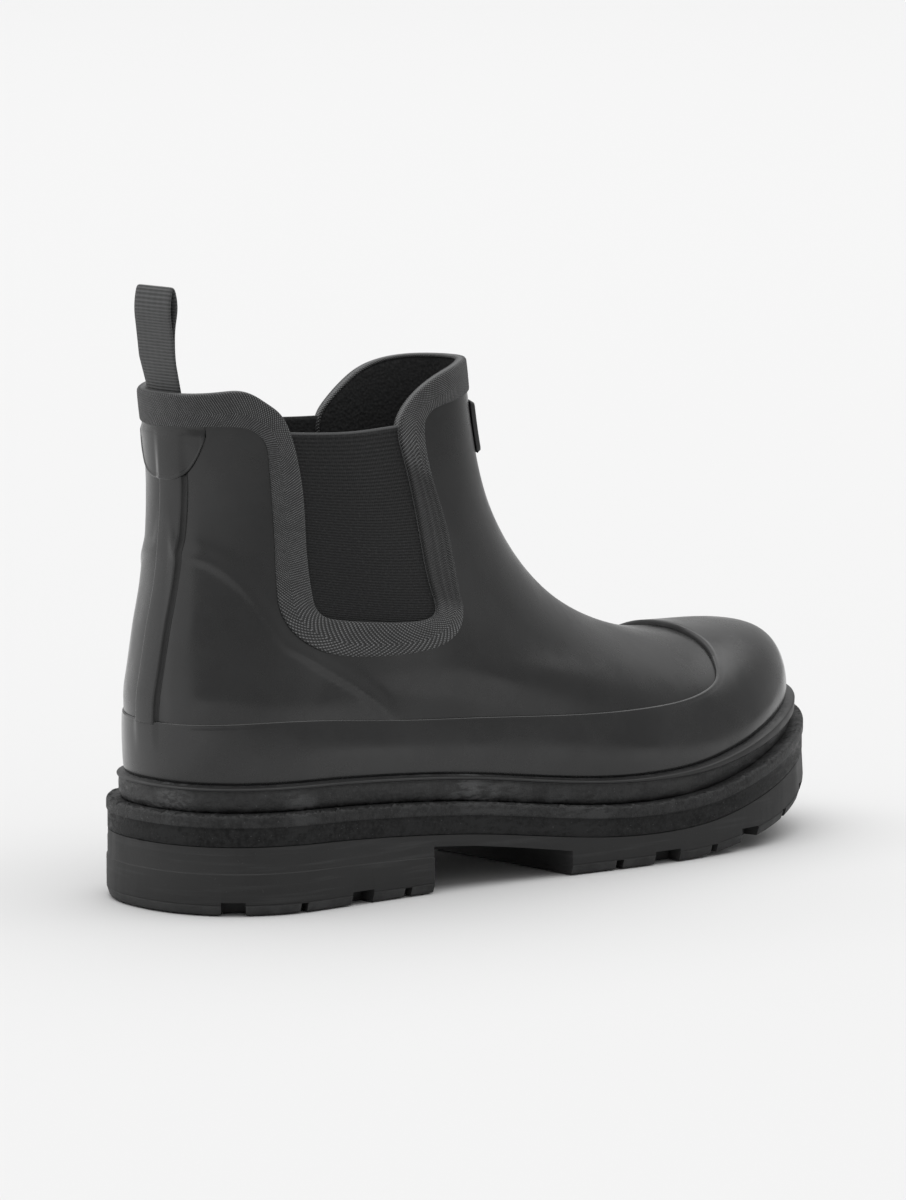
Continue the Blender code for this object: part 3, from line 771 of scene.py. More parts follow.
def sole_rubber(name, tone, tread_edge):
    """Moulded sole: level streaks, smears, fine pitting and a dusty lower edge.

    tread_edge is the middle of that edge on the UV map's y, and half its width.
    """
    finish, shader = new_finish(name, 0.5, 0.45)
    where = place_on(finish)
    down = step(finish, "SeparateXYZ", {0: place_on(finish, "UV")}).outputs[1]
    streaks = noise(finish, stretched(finish, where, (0.05, 0.05, 1.0)), 420, 3, 0.6)
    smears = noise(finish, stretched(finish, where, (1.0, 1.0, 0.35)), 70, 5, 0.65)
    colour = blend(finish, ramp(finish, smears, 0.3, 0.7), grey(tone * 0.6), grey(tone * 1.5))
    colour = blend(finish, ramp(finish, streaks, 0.52, 0.72, 0.0, 0.8), colour, grey(tone * 2.1))
    from_edge = sums(finish, "ABSOLUTE", sums(finish, "SUBTRACT", down, tread_edge[0]))
    edge = sums(finish, "LESS_THAN", from_edge, tread_edge[1])
    dust = ramp(finish, noise(finish, where, 120, 5, 0.7), 0.35, 0.6)
    colour = blend(finish, sums(finish, "MULTIPLY", edge, dust), colour, grey(tone * 2.4))
    fleck = ramp(finish, noise(finish, where, 1300, 1), 0.73, 0.8)
    colour = blend(finish, sums(finish, "MULTIPLY", fleck, 0.35), colour, grey(tone * 5))
    rough = ramp(finish, smears, 0.3, 0.7, 0.52, 0.74)
    coarse = relief(finish, streaks, 0.12, 0.0006)
    fine = relief(finish, noise(finish, where, 1200, 3, 0.6), 0.12, 0.0003, coarse)
    feed(finish, shader, Base_Color=colour, Roughness=rough, Normal=fine)
    return finish


def tab_plastic(name, tone):
    """Satin plastic with a fine grain."""
    finish, shader = new_finish(name, 0.42, 0.5)
    where = place_on(finish)
    cloud = ramp(finish, noise(finish, where, 160, 4), 0.3, 0.7)
    colour = blend(finish, cloud, grey(tone * 0.7), grey(tone * 1.4))
    rough = ramp(finish, noise(finish, where, 220, 4), 0.3, 0.7, 0.34, 0.5)
    normal = relief(finish, noise(finish, where, 1400, 2), 0.12, 0.0002)
    feed(finish, shader, Base_Color=colour, Roughness=rough, Normal=normal)
    return finish


upper_rubber = moulded_rubber("upper_rubber", 0.009, 0.28)
rand_rubber = moulded_rubber("rand_rubber", 0.0105, 0.22, 0.5)
trim_rubber = moulded_rubber("trim_rubber", 0.010, 0.24)
# Painted shade: darker rubber for the step behind the toe cap and for the back strip's side walls and
# their feet, which lie in shade.
painted_shade_rubber = moulded_rubber("painted_shade_rubber", 0.004, 0.5)
bead_rubber = moulded_rubber("bead_rubber", 0.009, 0.48)
foxing_rubber = buffed_rubber("foxing_rubber", 0.0125, 5.5, 0.3, 0.45)
strip_rubber = buffed_rubber("strip_rubber", 0.0175, 2.2, 0.5, 0.28)
band_rubber = buffed_rubber("band_rubber", 0.014, 1.6, 0.25, 0.12)
outsole_rubber = sole_rubber("outsole_rubber", 0.011, (0.0145, 0.0006))
tape_cloth = twill_tape("tape_cloth", 0.041, 0.0143, tape_front)
gore_cloth = ribbed_elastic("gore_elastic", 0.0165, 0.064)
loop_cloth = ribbed_webbing("loop_webbing", 0.073)
lining_cloth = knit_cloth("lining_cloth", 0.034)
footbed_cloth = knit_cloth("footbed_cloth", 0.014)
tab_plate = tab_plastic("tab_plate", 0.008)


def finish_piece(piece, node):
    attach(piece, "root")
    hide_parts(node)


def stay_share(u, t, half, soft):
    """1 on the strip up the back and 0 beside it, given half its width and the width of its sides."""
    x = wall_point(u, t)[..., 0] - np.interp(t, STAY_T, STAY_X)
    at_back = np.minimum(u % 1, 1 - u % 1) < U_REACH
    return np.where(at_back, 1 - soft_step(half, half + soft, np.abs(x)), 0)


def skin_height(u, t):
    return counter_height(u, t) + dents(u, t)


def upper_place(a, b):
    return wall(a, b, skin_height(a, b))


# Upper: outer skin with the heel counter's edge, and a cloth inside. It ends below the tape's free
# edge, by this share of the tape's width; the outline of what is left out closes above the grid.
EDGE_BELOW = 0.05
tape_line = tape_row(np.linspace(0, 0.5, 1500))
edge_line = tape_line[:, :2] + (tape_line[:, 2:] - tape_line[:, :2]) * EDGE_BELOW
corners = [(0.6, edge_line[-1, 1]), (0.6, 1.2), (-0.1, 1.2), (-0.1, edge_line[0, 1])]
edge_line = np.concatenate([edge_line, corners])
work = joined(shaped_grid(330, 148, upper_place, (560, 200), outline=edge_line))
upper = new_piece("boot_upper", work, (upper_rubber, lining_cloth))
sheet = thicken(upper, WALL, 1)
sheet.material_offset_rim = 1
finish_piece(upper, "upper")

# Edge tape: folded over the free edge. Share of its width from the free edge, offset.
TAPE_PROFILE = table(
    (1.0, -0.3),
    (1.0, 0.3),
    (0.99, 0.52),
    (0.965, 0.7),
    (0.92, 0.78),
    (0.7, 0.85),
    (0.5, 0.88),
    (0.3, 0.88),
    (0.12, 0.85),
    (0.055, 0.75),
    (0.02, 0.5),
    (0.003, 0.1),
    (0.0, -0.4),
    (0.0, -1.2),
    (0.0, -2.0),
    (0.003, -2.4),
    (0.02, -2.7),
    (0.045, -2.82),
    (0.075, -2.75),
    (0.085, -2.5),
    (0.085, -1.4),
    (0.5, -0.6),
    (1.0, -0.3),
)
TAPE_WIDTH = 12
steps = np.hypot(np.diff(TAPE_PROFILE[:, 0]) * TAPE_WIDTH, np.diff(TAPE_PROFILE[:, 1]))
tape_heights = np.concatenate([[0], np.cumsum(steps)])
# Profile points further out than this are on the tape's face.
TAPE_FACE = 0.5
# Lengthwise ridges on the front stretches: places as shares of the tape's width, height, width, u and t
# between which they begin, t between which they end.
TAPE_RIDGES = (0.36, 0.62, 0.84)
TAPE_RIDGE_HIGH = 0.45
TAPE_RIDGE_WIDE = 0.04
RIDGED_U = (0.25, 0.27)
RIDGED_T = (0.57, 0.61)
RIDGED_END_T = (0.86, 0.9)


def tape_place(a, b):
    across, offset = rows_at(TAPE_PROFILE, b)
    row = tape_row(a)
    u = row[:, 0] + (row[:, 2] - row[:, 0]) * across
    t = row[:, 1] + (row[:, 3] - row[:, 1]) * across
    front = soft_step(*RIDGED_U, np.minimum(u, 1 - u))
    front = front * soft_step(*RIDGED_T, t) * (1 - soft_step(*RIDGED_END_T, t))
    ridge = sum(np.exp(-(((across - middle) / TAPE_RIDGE_WIDE) ** 2)) for middle in TAPE_RIDGES)
    offset = offset + TAPE_RIDGE_HIGH * front * ridge * (offset > TAPE_FACE)
    return wall(u, np.minimum(t, 1), offset + skin_height(u, np.minimum(t, 1)))


work = closed(shaped_grid(640, 66, tape_place, (TAPE_LOOP, tape_heights)))
tape = new_piece("edge_tape", work, (tape_cloth,))
finish_piece(tape, "binding")

# Side elastics, between the tape's free edges: height of their level hem, u of their middle, lowest t,
# t below which they keep their width, how far they reach behind the tape, offset and thickness.
GORE_TOP = 152.6
GORE_MIDDLE = 0.23
GORE_FOOT = 0.545
GORE_HELD = 0.605
GORE_LAP = 0.004
GORE_OFFSET = -0.7
GORE_THICK = 0.8
trial = np.linspace(0.85, 0.97, 60)
hem_t = np.interp(GORE_TOP, wall_point(np.full_like(trial, GORE_MIDDLE), trial)[:, 2], trial)
# The notch's lowest point lies between these u, and its back and front edges between the wider ones.
LOWEST_U = (0.14, 0.3)
NOTCH_U = (0.12, 0.34)
branch = tape_row(np.linspace(0, 0.5, 600))[:, :2]
in_notch = (branch[:, 0] > LOWEST_U[0]) & (branch[:, 0] < LOWEST_U[1])
lowest = int(np.argmin(np.where(in_notch, branch[:, 1], np.inf)))
back_edge = branch[:lowest][branch[:lowest, 0] > NOTCH_U[0]][::-1]
front_edge = branch[lowest:][branch[lowest:, 0] < NOTCH_U[1]]


def gore_place(side):
    def place(a, b):
        t = GORE_FOOT + (hem_t - GORE_FOOT) * b
        held = np.maximum(t, GORE_HELD)
        from_u = np.interp(held, back_edge[:, 1], back_edge[:, 0]) - GORE_LAP
        to_u = np.interp(held, front_edge[:, 1], front_edge[:, 0]) + GORE_LAP
        u = from_u + (to_u - from_u) * a
        return wall(u if side > 0 else 1 - u, t, GORE_OFFSET + dents(u, t))

    return place


for which, side in (("lateral", 1), ("medial", -1)):
    work = shaped_grid(40, 60, gore_place(side), (52, 64))
    if side < 0:
        bmesh.ops.reverse_faces(work, faces=work.faces)
    gore = new_piece("elastic_" + which, work, (gore_cloth, lining_cloth))
    thicken(gore, GORE_THICK, 1)
    finish_piece(gore, "gore_" + which)

# Rand with toe cap: share of its height, further t, share of its thickness.
RAND_FOOT = [
    (0, -0.012, -0.2),
    (0, -0.011, 0.4),
    (0, -0.009, 0.7),
    (0, -0.006, 0.86),
    (0, -0.003, 0.94),
    (0, 0, 0.97),
]
RAND_FACE = [(share, 0, 1) for share in np.linspace(0.03, 0.9, 46)]
RAND_EDGE = [
    (1, -0.009, 1),
    (1, -0.006, 1),
    (1, -0.004, 0.97),
    (1, -0.0008, 0.68),
    (1, -0.0003, 0.5),
    (1, 0, 0.1),
    (1, 0, -0.2),
]
RAND_BACK = [(share, 0, -0.4) for share in np.linspace(0.98, 0.02, 16)]
RAND_ROWS = RAND_FOOT + RAND_FACE + RAND_EDGE + RAND_BACK + RAND_FOOT[:1]
RAND_HIGH = 1.9
# Over the strip up the back it swells: height, width of the sides, t between which this begins.
RAND_SWELL = 0.4
RAND_SWELL_SIDES = 1.2
RAND_SWELL_T = (0.1, 0.2)
# Above its bend the side leans in: how far at its top, u between which this ends, softness of the bend.
RAND_LEAN = 1.15
LEAN_ENDS_U = (0.33, 0.42)
RAND_SOFT = 0.02
# The bend: u, share of the height.
RAND_BEND = table(
    (0, 0.08),
    (0.07, 0.08),
    (0.13, 0.42),
    (0.24, 0.46),
    (0.3, 0.36),
    (0.36, 0.1),
    (0.5, 0.1),
)
# The cap's edge is sharper: u between which this begins, share. The step behind the cap lies in its own
# shade, which is painted on it: its rows, and how far it reaches from the toe in u.
CAP_U = (0.41, 0.46)
CAP_SHARPER = 0.8
CAP_STEP = (len(RAND_FOOT + RAND_FACE) + 2, len(RAND_FOOT + RAND_FACE + RAND_EDGE) - 1)
CAP_STEP_U = 0.115


def past_bend(share, bend):
    """Share of the height past the bend, with a soft beginning."""
    past = share - bend
    return (past + np.sqrt(past**2 + RAND_SOFT)) / 2


def rand_place(a, b):
    share, more, thick = rows_at(RAND_ROWS, b)
    folded = np.minimum(a, 1 - a)
    top = spline(RAND_TOP[:, 0], RAND_TOP[:, 1], folded)
    sharper = CAP_SHARPER * soft_step(*CAP_U, folded)
    t = RAND_BOTTOM + (top - RAND_BOTTOM) * share + more * np.where(share == 1, 1 - sharper, 1)
    bend = np.interp(folded, RAND_BEND[:, 0], RAND_BEND[:, 1])
    lean = RAND_LEAN * past_bend(share, bend) / past_bend(1, bend)
    lean = lean * (1 - soft_step(*LEAN_ENDS_U, folded))
    over_strip = RAND_SWELL * stay_share(a, t, STAY_HALF, RAND_SWELL_SIDES)
    over_strip = over_strip * soft_step(*RAND_SWELL_T, t)
    return wall(a, t, thick * (RAND_HIGH - lean + over_strip))


# Painted shade on the step behind the toe cap.
def rand_paint(a, b):
    row = b * (len(RAND_ROWS) - 1)
    return 1 if CAP_STEP[0] < row < CAP_STEP[1] and abs(a - 0.5) < CAP_STEP_U else 0


work = closed(shaped_grid(420, len(RAND_ROWS) - 1, rand_place, (700, 90), rand_paint))
rand = new_piece("rand_and_cap", work, (rand_rubber, painted_shade_rubber))
finish_piece(rand, "rand")

# Foxing strip with a bead along its top: t, offset.
FOXING_ROWS = (
    (0, -0.3),
    (0, 2.8),
    (0.001, 3.5),
    (0.004, 3.95),
    (0.01, 4.2),
    (0.018, 4.25),
    (0.034, 4.05),
    (0.0455, 3.75),
    (0.0475, 3.6),
    (0.0492, 3.65),
    (0.0502, 4.05),
    (0.0515, 4.3),
    (0.054, 4.3),
    (0.0559, 4.1),
    (0.0569, 3.6),
    (0.0578, 2.9),
    (0.0588, 2.2),
    (0.0596, 1.7),
    (0.0598, 1.0),
    (0.0598, -0.3),
    (0.03, -0.4),
    (0, -0.3),
)
# Rows further out than this are on the strip's visible face.
FACE_OFFSET = 2
# Its lower edge is frayed: depth, t where this ends, further t for each millimetre of it.
FOXING_FRAY = 0.22
FRAY_T = 0.006
FRAY_LIFT = 0.003
# Rows of the smoother bead, and t at its foot and in the middle of its face.
BEAD_ROWS = (9, 15)
BEAD_FOOT = 0.0475
BEAD_FACE = 0.053
# Lip at the toe: u where it begins and is full, further height in t, further offset below and above.
LIP_U = (0.27, 0.42)
LIP_HIGH = 0.016
LIP_OUT = (0.9, 0.7)


def ragged(a, size):
    """Uneven wave round the boot."""
    turn = 2 * np.pi * a
    beats = ((61, 0), (97, 1.3), (149, 2.1), (211, 0.4), (307, 1.9), (389, 2.8))
    return size * sum(np.sin(beat * turn + start) for beat, start in beats) / 2


def foxing_place(a, b):
    t, offset = rows_at(FOXING_ROWS, b)
    face = offset > FACE_OFFSET
    frayed = ragged(a, FOXING_FRAY) * face * (1 - soft_step(0, FRAY_T, t))
    # towards the toe the bead grows into a lip
    lip = soft_step(*LIP_U, np.minimum(a, 1 - a)) * face
    above = t > BEAD_FACE
    on_bead = t > BEAD_FOOT
    offset = offset + lip * np.where(above, LIP_OUT[1], np.where(on_bead, LIP_OUT[0], 0))
    t = np.where(above, t, t - lip * LIP_HIGH * np.where(on_bead, 1, t / BEAD_FOOT))
    return wall(a, t + FRAY_LIFT * np.abs(frayed), offset + frayed)


def foxing_paint(a, b):
    return 1 if BEAD_ROWS[0] < b * (len(FOXING_ROWS) - 1) < BEAD_ROWS[1] else 0


work = closed(shaped_grid(1200, 2 * (len(FOXING_ROWS) - 1), foxing_place, (720, 30), foxing_paint))
foxing = new_piece("foxing_strip", work, (foxing_rubber, bead_rubber))
finish_piece(foxing, "foxing")

# Midsole: rough strip with a frayed upper edge above a smoother dark band.
# Inset, height from its top, how frayed.
MIDSOLE_ROWS = (
    (16, -0.1, 0),
    (8, 0.0, 0),
    (2.0, -0.02, 0.3),
    (0.7, -0.08, 1),
    (0.25, -0.3, 1),
    (0.05, -0.7, 0.6),
    (0.0, -1.2, 0.2),
    (0.0, -2.4, 0.1),
    (0.0, -3.7, 0.1),
    (0.12, -4.0, 0.1),
    (0.42, -4.1, 0),
    (0.42, -7.0, 0),
    (0.42, -10.1, 0),
    (0.6, -10.25, 0),
    (16, -10.25, 0),
    (16, -0.1, 0),
)
# Row where the band begins, and depth of the frayed edge.
BAND_ROW = 10
MIDSOLE_FRAY = 0.3


def midsole_place(a, b):
    inset, height, frayed = rows_at(MIDSOLE_ROWS, b)
    worn = frayed * ragged(a, MIDSOLE_FRAY)
    x, y, _ = plan(2 * np.pi * a, **smaller(SOLE, inset + np.maximum(worn, 0)))
    return np.stack([x, y, sole_top(y) + height + worn], -1)


def midsole_paint(a, b):
    return 0 if b * (len(MIDSOLE_ROWS) - 1) < BAND_ROW else 1


work = closed(shaped_grid(1200, 2 * (len(MIDSOLE_ROWS) - 1), midsole_place, (760, 40), midsole_paint))
midsole = new_piece("midsole_edge", work, (strip_rubber, band_rubber))
finish_piece(midsole, "midsole")

# Outsole: fold (0 on the foot's axis, 1 on the edge), inset, level it counts from, height.
# Levels: 0 the tread, 1 the side (height is a share of it), 2 the underside of the midsole.
OUTSOLE_ROWS = (
    (0, 0, 2, -10.35),
    (1, 0.9, 2, -10.35),
    (1, 0.55, 2, -10.5),
    (1, 0.5, 2, -10.9),
    (1, 0.5, 1, 0.905),
    (1, 0.38, 1, 0.892),
    (1, 0.36, 1, 0.879),
    (1, 0.36, 1, 0.563),
    (1, 0.28, 1, 0.551),
    (1, 0.05, 1, 0.54),
    (1, 0.0, 1, 0.519),
    (1, 0.0, 0, 3.5),
    (1, 0.2, 0, 3.3),
    (1, 0.2, 0, 3.05),
    (1, 0.05, 0, 2.85),
    (1, 0.85, 0, 0.35),
    (1, 1.15, 0, 0.0),
    (0, 1.15, 0, 0.0),
)
# The side begins this far above the tread and ends at this height from the midsole's top.
SIDE_LOW = 3.5
SIDE_HIGH = -10.9
# In front of the heel the side has no ledges but leans: cosine of the angle round the sole between which
# they fade out, lean.
LEDGES_END = (0.2, 0.45)
SIDE_LEAN = 0.5
# Eased edges of the tread: width, angle from which an edge is eased, and from which it is shaded sharp.
EASED_WIDE = 0.35
EASED_ANGLE = 40
SHARP_ANGLE = 35


def outsole_place(a, b):
    fold, inset, level, height = rows_at(OUTSOLE_ROWS, b)
    level = np.rint(level)
    heel_only = np.interp(np.cos(2 * np.pi * a), LEDGES_END, (0, 1))
    side_inset = inset * heel_only + SIDE_LEAN * height * (1 - heel_only)
    inset = np.where(level == 1, side_inset, inset)
    x, y, _ = plan(2 * np.pi * a, **smaller(SOLE, inset))
    x = axis_x(y) + (x - axis_x(y)) * fold
    low = sole_bottom(y) + SIDE_LOW
    side = low + (sole_top(y) + SIDE_HIGH - low) * height
    z = np.choose(level.astype(int), (sole_bottom(y) + height, side, sole_top(y) + height))
    return np.stack([x, y, z], -1)


def cutter(name, work):
    """Tool that is cut out of the outsole."""
    tool = new_piece(name, closed(work), ())
    tool.hide_render = True
    return tool


def edge_frame(y, side):
    """Point on the sole's edge, direction along it and direction inwards."""
    nearby = np.array([-0.01, 0, 0.01])
    phi = math.acos(1 - 2 * y / SOLE["y_front"]) + nearby
    x, y, _ = plan(phi * side, **SOLE)
    along = np.array([x[2] - x[0], y[2] - y[0]])
    along /= np.linalg.norm(along)
    return np.array([x[1], y[1]]), along, np.array([-along[1], along[0]]) * side


def block(work, middle, along, size):
    """Box in a cutter: middle in mm, direction of its length in plan, size along, across, up."""
    turn = Matrix.Rotation(math.atan2(along[1], along[0]), 4, "Z")
    move = Matrix.Translation(Vector((np.asarray(middle) - MIDDLE) * MM))
    grow = Matrix.Diagonal(Vector((*(np.asarray(size) * MM), 1)))
    bmesh.ops.create_cube(work, size=1, matrix=move @ turn @ grow)


work = bmesh.new()
for y, width, height, reach in NOTCHES:
    for side in (1, -1):
        point, along, inward = edge_frame(y, side)
        floor_z = float(sole_bottom(np.array(point[1])))
        middle = point + inward * (reach - CUT_PAST) / 2
        size = (width, reach + CUT_PAST, height + CUT_PAST)
        block(work, (*middle, floor_z + (height - CUT_PAST) / 2), along, size)
tools = [cutter("notch_tool", work)]

work = bmesh.new()
for y, half in GROOVES:
    floor_z = float(sole_bottom(np.array(float(y))))
    middle = (float(axis_x(np.array(float(y)))), y, floor_z + (GROOVE_DEEP - CUT_PAST) / 2)
    block(work, middle, (1, 0), (2 * half, GROOVE_WIDE, GROOVE_DEEP + CUT_PAST))
tools.append(cutter("groove_tool", work))

# Section of a channel: inset, height above the tread.
CHANNEL_ROWS = (
    (0, -CUT_PAST),
    (0, CHANNEL_DEEP),
    (CHANNEL_WIDE, CHANNEL_DEEP),
    (CHANNEL_WIDE, -CUT_PAST),
    (0, -CUT_PAST),
)
for number, size in enumerate(CHANNELS):

    def channel_place(a, b, size=size):
        inset, height = rows_at(CHANNEL_ROWS, b)
        x, y, _ = plan(2 * np.pi * a, **smaller(size, inset))
        return np.stack([x, y, sole_bottom(y) + height], -1)

    tools.append(cutter(f"channel_tool_{number}", shaped_grid(96, 4, channel_place, (1, 1))))

# The arch is cut right across the sole, by a tool of this half length that reaches this far below it.
ARCH_HALF = 90
ARCH_BELOW = 5
work = bmesh.new()
outline = [(ARCH[0][0], -ARCH_BELOW), *ARCH, (ARCH[-1][0], -ARCH_BELOW)]
corners = [work.verts.new((np.array([-ARCH_HALF, y, z]) - MIDDLE) * MM) for y, z in outline]
side_face = work.faces.new(corners)
pushed = bmesh.ops.extrude_face_region(work, geom=[side_face])
ends = [item for item in pushed["geom"] if isinstance(item, bmesh.types.BMVert)]
bmesh.ops.translate(work, verts=ends, vec=(2 * ARCH_HALF * MM, 0, 0))
tools.append(cutter("arch_tool", work))

# Its UV map counts 1 mm for each row.
work = closed(shaped_grid(300, len(OUTSOLE_ROWS) - 1, outsole_place, (760, len(OUTSOLE_ROWS) - 1)))
outsole = new_piece("lugged_outsole", work, (outsole_rubber,))
for tool in tools:
    carve = outsole.modifiers.new(tool.name, "BOOLEAN")
    carve.operation = "DIFFERENCE"
    carve.solver = "EXACT"
    carve.object = tool
ease = outsole.modifiers.new("eased_edges", "BEVEL")
ease.limit_method = "ANGLE"
ease.angle_limit = math.radians(EASED_ANGLE)
ease.width = EASED_WIDE * MM
ease.segments = 2
ease.harden_normals = False
bpy.context.view_layer.update()
carving = bpy.context.evaluated_depsgraph_get()
carved = bpy.data.meshes.new_from_object(outsole.evaluated_get(carving))
outsole.modifiers.clear()
outsole.data = carved
carved.set_sharp_from_angle(angle=math.radians(SHARP_ANGLE))
for tool in tools:
    bpy.data.objects.remove(tool, do_unlink=True)
finish_piece(outsole, "outsole")

# Footbed: follows the sole, slightly dished. Height of its middle above the sole, how far its sides
# rise, gap to the wall, thickness.
FOOTBED_TOP = 3.2
FOOTBED_DISH = 0.35
FOOTBED_GAP = 0.5
FOOTBED_THICK = 2.6


def footbed_place(a, b):
    size = dict(zip(("y_back", "y_front"), LEVELS[0, 1:3]))
    size.update(zip(("heel", "waist", "ball", "toe", "r_back", "r_front"), LEVELS[0, 7:]))
    x, y, _ = plan(np.pi * a, **smaller(size, WALL + FOOTBED_GAP))
    fold = 2 * b - 1
    x = axis_x(y) + (x - axis_x(y)) * fold
    return np.stack([x, y, sole_top(y) + FOOTBED_TOP + FOOTBED_DISH * fold**4], -1)


work = closed(shaped_grid(90, 24, footbed_place, (265, 80)))
footbed = new_piece("footbed", work, (footbed_cloth,))
thicken(footbed, FOOTBED_THICK)
finish_piece(footbed, "insole")


# Raised pieces on the wall: back strip, half-round patch and front tab.
def eased(a, b, edge_a, edge_b, height):
    """Height of a raised piece, rounded down at its borders; edges are shares of its size."""
    rim = np.minimum(np.minimum(a, 1 - a) / edge_a, np.minimum(b, 1 - b) / edge_b)
    return height * np.sqrt(1 - (1 - np.clip(rim, 0, 1)) ** 2)


def u_at_points(x, t, middle=0.0):
    """Positions round the boot of points given by x and t."""
    return np.array([u_at_x(one, level, middle) for one, level in zip(x, t)])


# Section of the back strip: x from its middle, offset. Its side walls and their feet, which lie before
# and after the two rows named below, are painted darker as shade.
STAY_SECTION = (
    (-STAY_HALF - 0.9, -0.3),
    (-STAY_HALF - 0.6, 0.1),
    (-STAY_HALF, STAY_HIGH - 0.25),
    (-STAY_HALF + 0.3, STAY_HIGH),
    (-STAY_HALF / 2, STAY_HIGH + 0.08),
    (0, STAY_HIGH + 0.1),
    (STAY_HALF / 2, STAY_HIGH + 0.08),
    (STAY_HALF - 0.35, STAY_HIGH),
    (STAY_HALF, STAY_HIGH - 0.22),
    (STAY_HALF + 0.3, 0.45),
    (STAY_HALF + 0.6, 0.12),
    (STAY_HALF + 1.5, 0.1),
    (STAY_HALF + 1.7, -0.3),
)
STAY_FIRST_ROW = 3
STAY_LAST_ROW = 8


def stay_place(a, b):
    t = STAY_SPAN[0] + (STAY_SPAN[1] - STAY_SPAN[0]) * a
    x, offset = rows_at(STAY_SECTION, b)
    u = u_at_points(x + np.interp(t, STAY_T, STAY_X), t)
    return wall(u, t, offset + counter_height(u, t))


# Painted shade on the back strip's side walls and their feet.
def stay_paint(a, b):
    row = b * (len(STAY_SECTION) - 1)
    return 0 if STAY_FIRST_ROW <= row <= STAY_LAST_ROW else 1


# Half-round patch: half width, t of its lowest point and its top, height, offset of its foot, shares of
# its size over which its borders are eased.
PATCH_HALF = 16
PATCH_T = (0.8165, 0.925)
PATCH_HIGH = 0.7
PATCH_FOOT = -0.1
PATCH_EASED = (0.03, 0.06)
# Its lower rim rises to the sides: t it rises by, x where it has risen so far, power.
PATCH_RISE = 0.0776
PATCH_RISE_X = 15.6
PATCH_RISE_POWER = 3.2
# The strip below shows through: how much lower and narrower, width of the sides, t between which it ends.
STRIP_LOWER = 0.4
STRIP_NARROWER = 0.8
STRIP_SIDES = 3.2
STRIP_END_T = (0.82, 0.94)
# Bead along its rim: height, distance from the rim, width.
PATCH_BEAD_HIGH = 0.3
PATCH_BEAD_IN = 0.75
PATCH_BEAD_WIDE = 0.45
# Its top dips under the edge tape: t between which it does, offset there.
PATCH_DIP_T = (0.899, 0.912)
PATCH_DIP = 0.15


def patch_place(a, b):
    x = PATCH_HALF * (2 * a - 1)
    low = PATCH_T[0] + PATCH_RISE * np.abs(x / PATCH_RISE_X) ** PATCH_RISE_POWER
    height = PATCH_T[1] - low
    t = low + height * b
    u = u_at_points(x, t)
    over_strip = (STAY_HIGH - STRIP_LOWER) * stay_share(u, t, STAY_HALF - STRIP_NARROWER, STRIP_SIDES)
    over_strip = over_strip * (1 - soft_step(*STRIP_END_T, t))
    from_rim = np.minimum(b * height * T_LENGTH, PATCH_HALF - np.abs(x))
    bead = PATCH_BEAD_HIGH * np.exp(-(((from_rim - PATCH_BEAD_IN) / PATCH_BEAD_WIDE) ** 2))
    offset = eased(a, b, *PATCH_EASED, PATCH_HIGH) + PATCH_FOOT + over_strip + bead
    shown = 1 - soft_step(*PATCH_DIP_T, t)
    return wall(u, t, shown * offset + PATCH_DIP * (1 - shown))


# Plate on the front: half width, t of its lower and upper edge, offset of its foot, height, shares of
# its size over which its borders are eased.
TAB_HALF = 12.5
TAB_T = (0.857, 0.924)
TAB_FOOT = 0.2
TAB_HIGH = 1.2
TAB_EASED = (0.05, 0.09)


def tab_place(a, b):
    t = TAB_T[0] + (TAB_T[1] - TAB_T[0]) * b
    u = u_at_points(TAB_HALF * (2 * a - 1), t, 0.5)
    return wall(u, t, TAB_FOOT + eased(a, b, *TAB_EASED, TAB_HIGH))


def raised_piece(name, node, work, paints, depth):
    piece = new_piece(name, work, paints)
    thicken(piece, depth)
    finish_piece(piece, node)


work = shaped_grid(84, 48, stay_place, (80, 11.6), stay_paint)
bmesh.ops.reverse_faces(work, faces=work.faces)
raised_piece("back_strip", "backstay", work, (trim_rubber, painted_shade_rubber), 0.5)
work = shaped_grid(72, 40, patch_place, (32, 16))
raised_piece("half_round_patch", "loop_patch", work, (trim_rubber,), 0.4)
work = shaped_grid(30, 22, tab_place, (25, 17))
raised_piece("front_plate", "front_tab", work, (tab_plate,), 0.8)

# Pull loop: webbing swept along its line, with rounded edges.
length = np.concatenate([[0], np.cumsum(np.hypot(*np.diff(LOOP_PATH, axis=0).T))])
# Powers that square its section across and through.
SQUARE_ACROSS = 0.22
SQUARE_UP = 0.5
web_section = []
for turn in np.linspace(0, 2 * np.pi, 29):
    across = math.copysign(abs(math.cos(turn)) ** SQUARE_ACROSS, math.cos(turn))
    up = math.copysign(abs(math.sin(turn)) ** SQUARE_UP, math.sin(turn))
    web_section.append((across, up))


def loop_place(a, b):
    at = a * length[-1]
    near = 0.2
    middle = spline(length, LOOP_PATH, at)
    ahead = spline(length, LOOP_PATH, at + near) - spline(length, LOOP_PATH, at - near)
    ahead /= np.linalg.norm(ahead, axis=1, keepdims=True)
    across, up = rows_at(web_section, b)
    x = across * LOOP_WIDTH / 2 + LOOP_SHIFT - LOOP_SKEW * soft_step(*LOOP_SKEW_SPAN, a)
    line = middle + np.stack([-ahead[:, 1], ahead[:, 0]], -1) * (up * LOOP_THICK / 2)[:, None]
    bend = LOOP_BEND * x**2 * np.interp(middle[:, 1], LOOP_BEND_Z, LOOP_BEND_SHARE)
    return np.stack([x, line[:, 0] + bend, line[:, 1]], -1)


work = joined(shaped_grid(150, 28, loop_place, (float(length[-1]), 44)))
bmesh.ops.holes_fill(work, edges=[edge for edge in work.edges if edge.is_boundary], sides=0)
bmesh.ops.recalc_face_normals(work, faces=work.faces)
finish_piece(new_piece("pull_loop_webbing", work, (loop_cloth,)), "pull_loop")

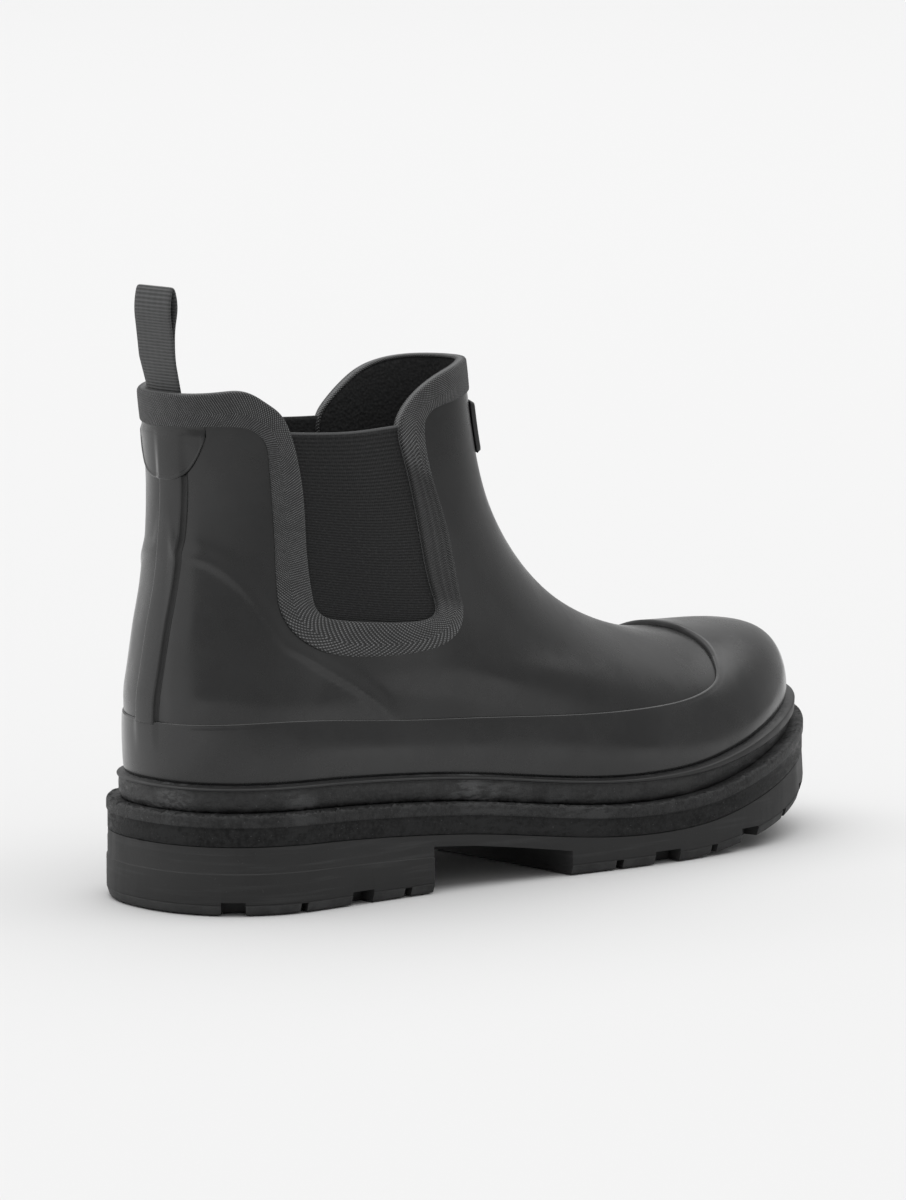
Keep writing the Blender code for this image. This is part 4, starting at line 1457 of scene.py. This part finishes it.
# Floor, light and surroundings. The white sweep ends beside the boot, out of the picture, and the
# room's floor begins: direction in which it does, distances in metres, tones of both.
SWEEP_WAY = (0.75, 0.66, 0)
SWEEP_ENDS = (0.3, 0.7)
SWEEP_TONE = 0.704
ROOM_TONE = 0.36
# The floor lies this little below the sole, in metres.
FLOOR_Z = -0.0005
floor_finish, floor_shader = new_finish("studio_floor", 0.9, 0.0)
inputs = {0: place_on(floor_finish), 1: SWEEP_WAY}
beside = step(floor_finish, "VectorMath", inputs, operation="DOT_PRODUCT").outputs["Value"]
in_room = ramp(floor_finish, beside, *SWEEP_ENDS)
floor_tone = blend(floor_finish, in_room, grey(SWEEP_TONE, 0), grey(ROOM_TONE, 0))
feed(floor_finish, floor_shader, Base_Color=floor_tone)
work = bmesh.new()
bmesh.ops.create_grid(work, x_segments=2, y_segments=2, size=40)
floor = new_piece("studio_floor", work, (floor_finish,))
floor.location.z = FLOOR_Z


def lamp(name, where, aim, size, radiance):
    """Softbox at a place in metres, facing aim, with the brightness of its face."""
    light = bpy.data.lights.new(name, "AREA")
    light.shape = "RECTANGLE"
    light.size, light.size_y = size
    light.energy = radiance * math.pi * size[0] * size[1]
    made = bpy.data.objects.new(name, light)
    made.location = where
    made.rotation_euler = (Vector(aim) - Vector(where)).to_track_quat("-Z", "Y").to_euler()
    bpy.context.scene.collection.objects.link(made)
    return made


lamp("overhead_softbox", (-2, 2, 12), (-2, 2.001, 0), (24, 24), 1.4)
heel_light = lamp("heel_softbox", (-1.12, -1.09, 0.9), (0, 0, 0.1), (4.1, 2.4), 0.6)
heel_light.visible_diffuse = False
# Lit cards on the floor, face up, left and right of the picture, turned by these degrees.
CARD_TURN = -132
for name, where, size, radiance in (
    ("heel_card", (-0.42, -0.46, 0.002), (0.8, 1.6), 0.24),
    ("side_card", (0.38, 0.42, 0.002), (0.7, 1.2), 0.22),
):
    card = lamp(name, where, (*where[:2], 1), size, radiance)
    card.rotation_euler = (math.pi, 0, math.radians(CARD_TURN))
    card.visible_diffuse = False

ROOM_LIGHT = 0.54
world = bpy.data.worlds.new("studio")
bpy.context.scene.world = world
world.use_nodes = True
world.node_tree.nodes["Background"].inputs["Color"].default_value = (1, 1, 1, 1)
world.node_tree.nodes["Background"].inputs["Strength"].default_value = ROOM_LIGHT
bpy.context.scene.view_settings.view_transform = "Standard"
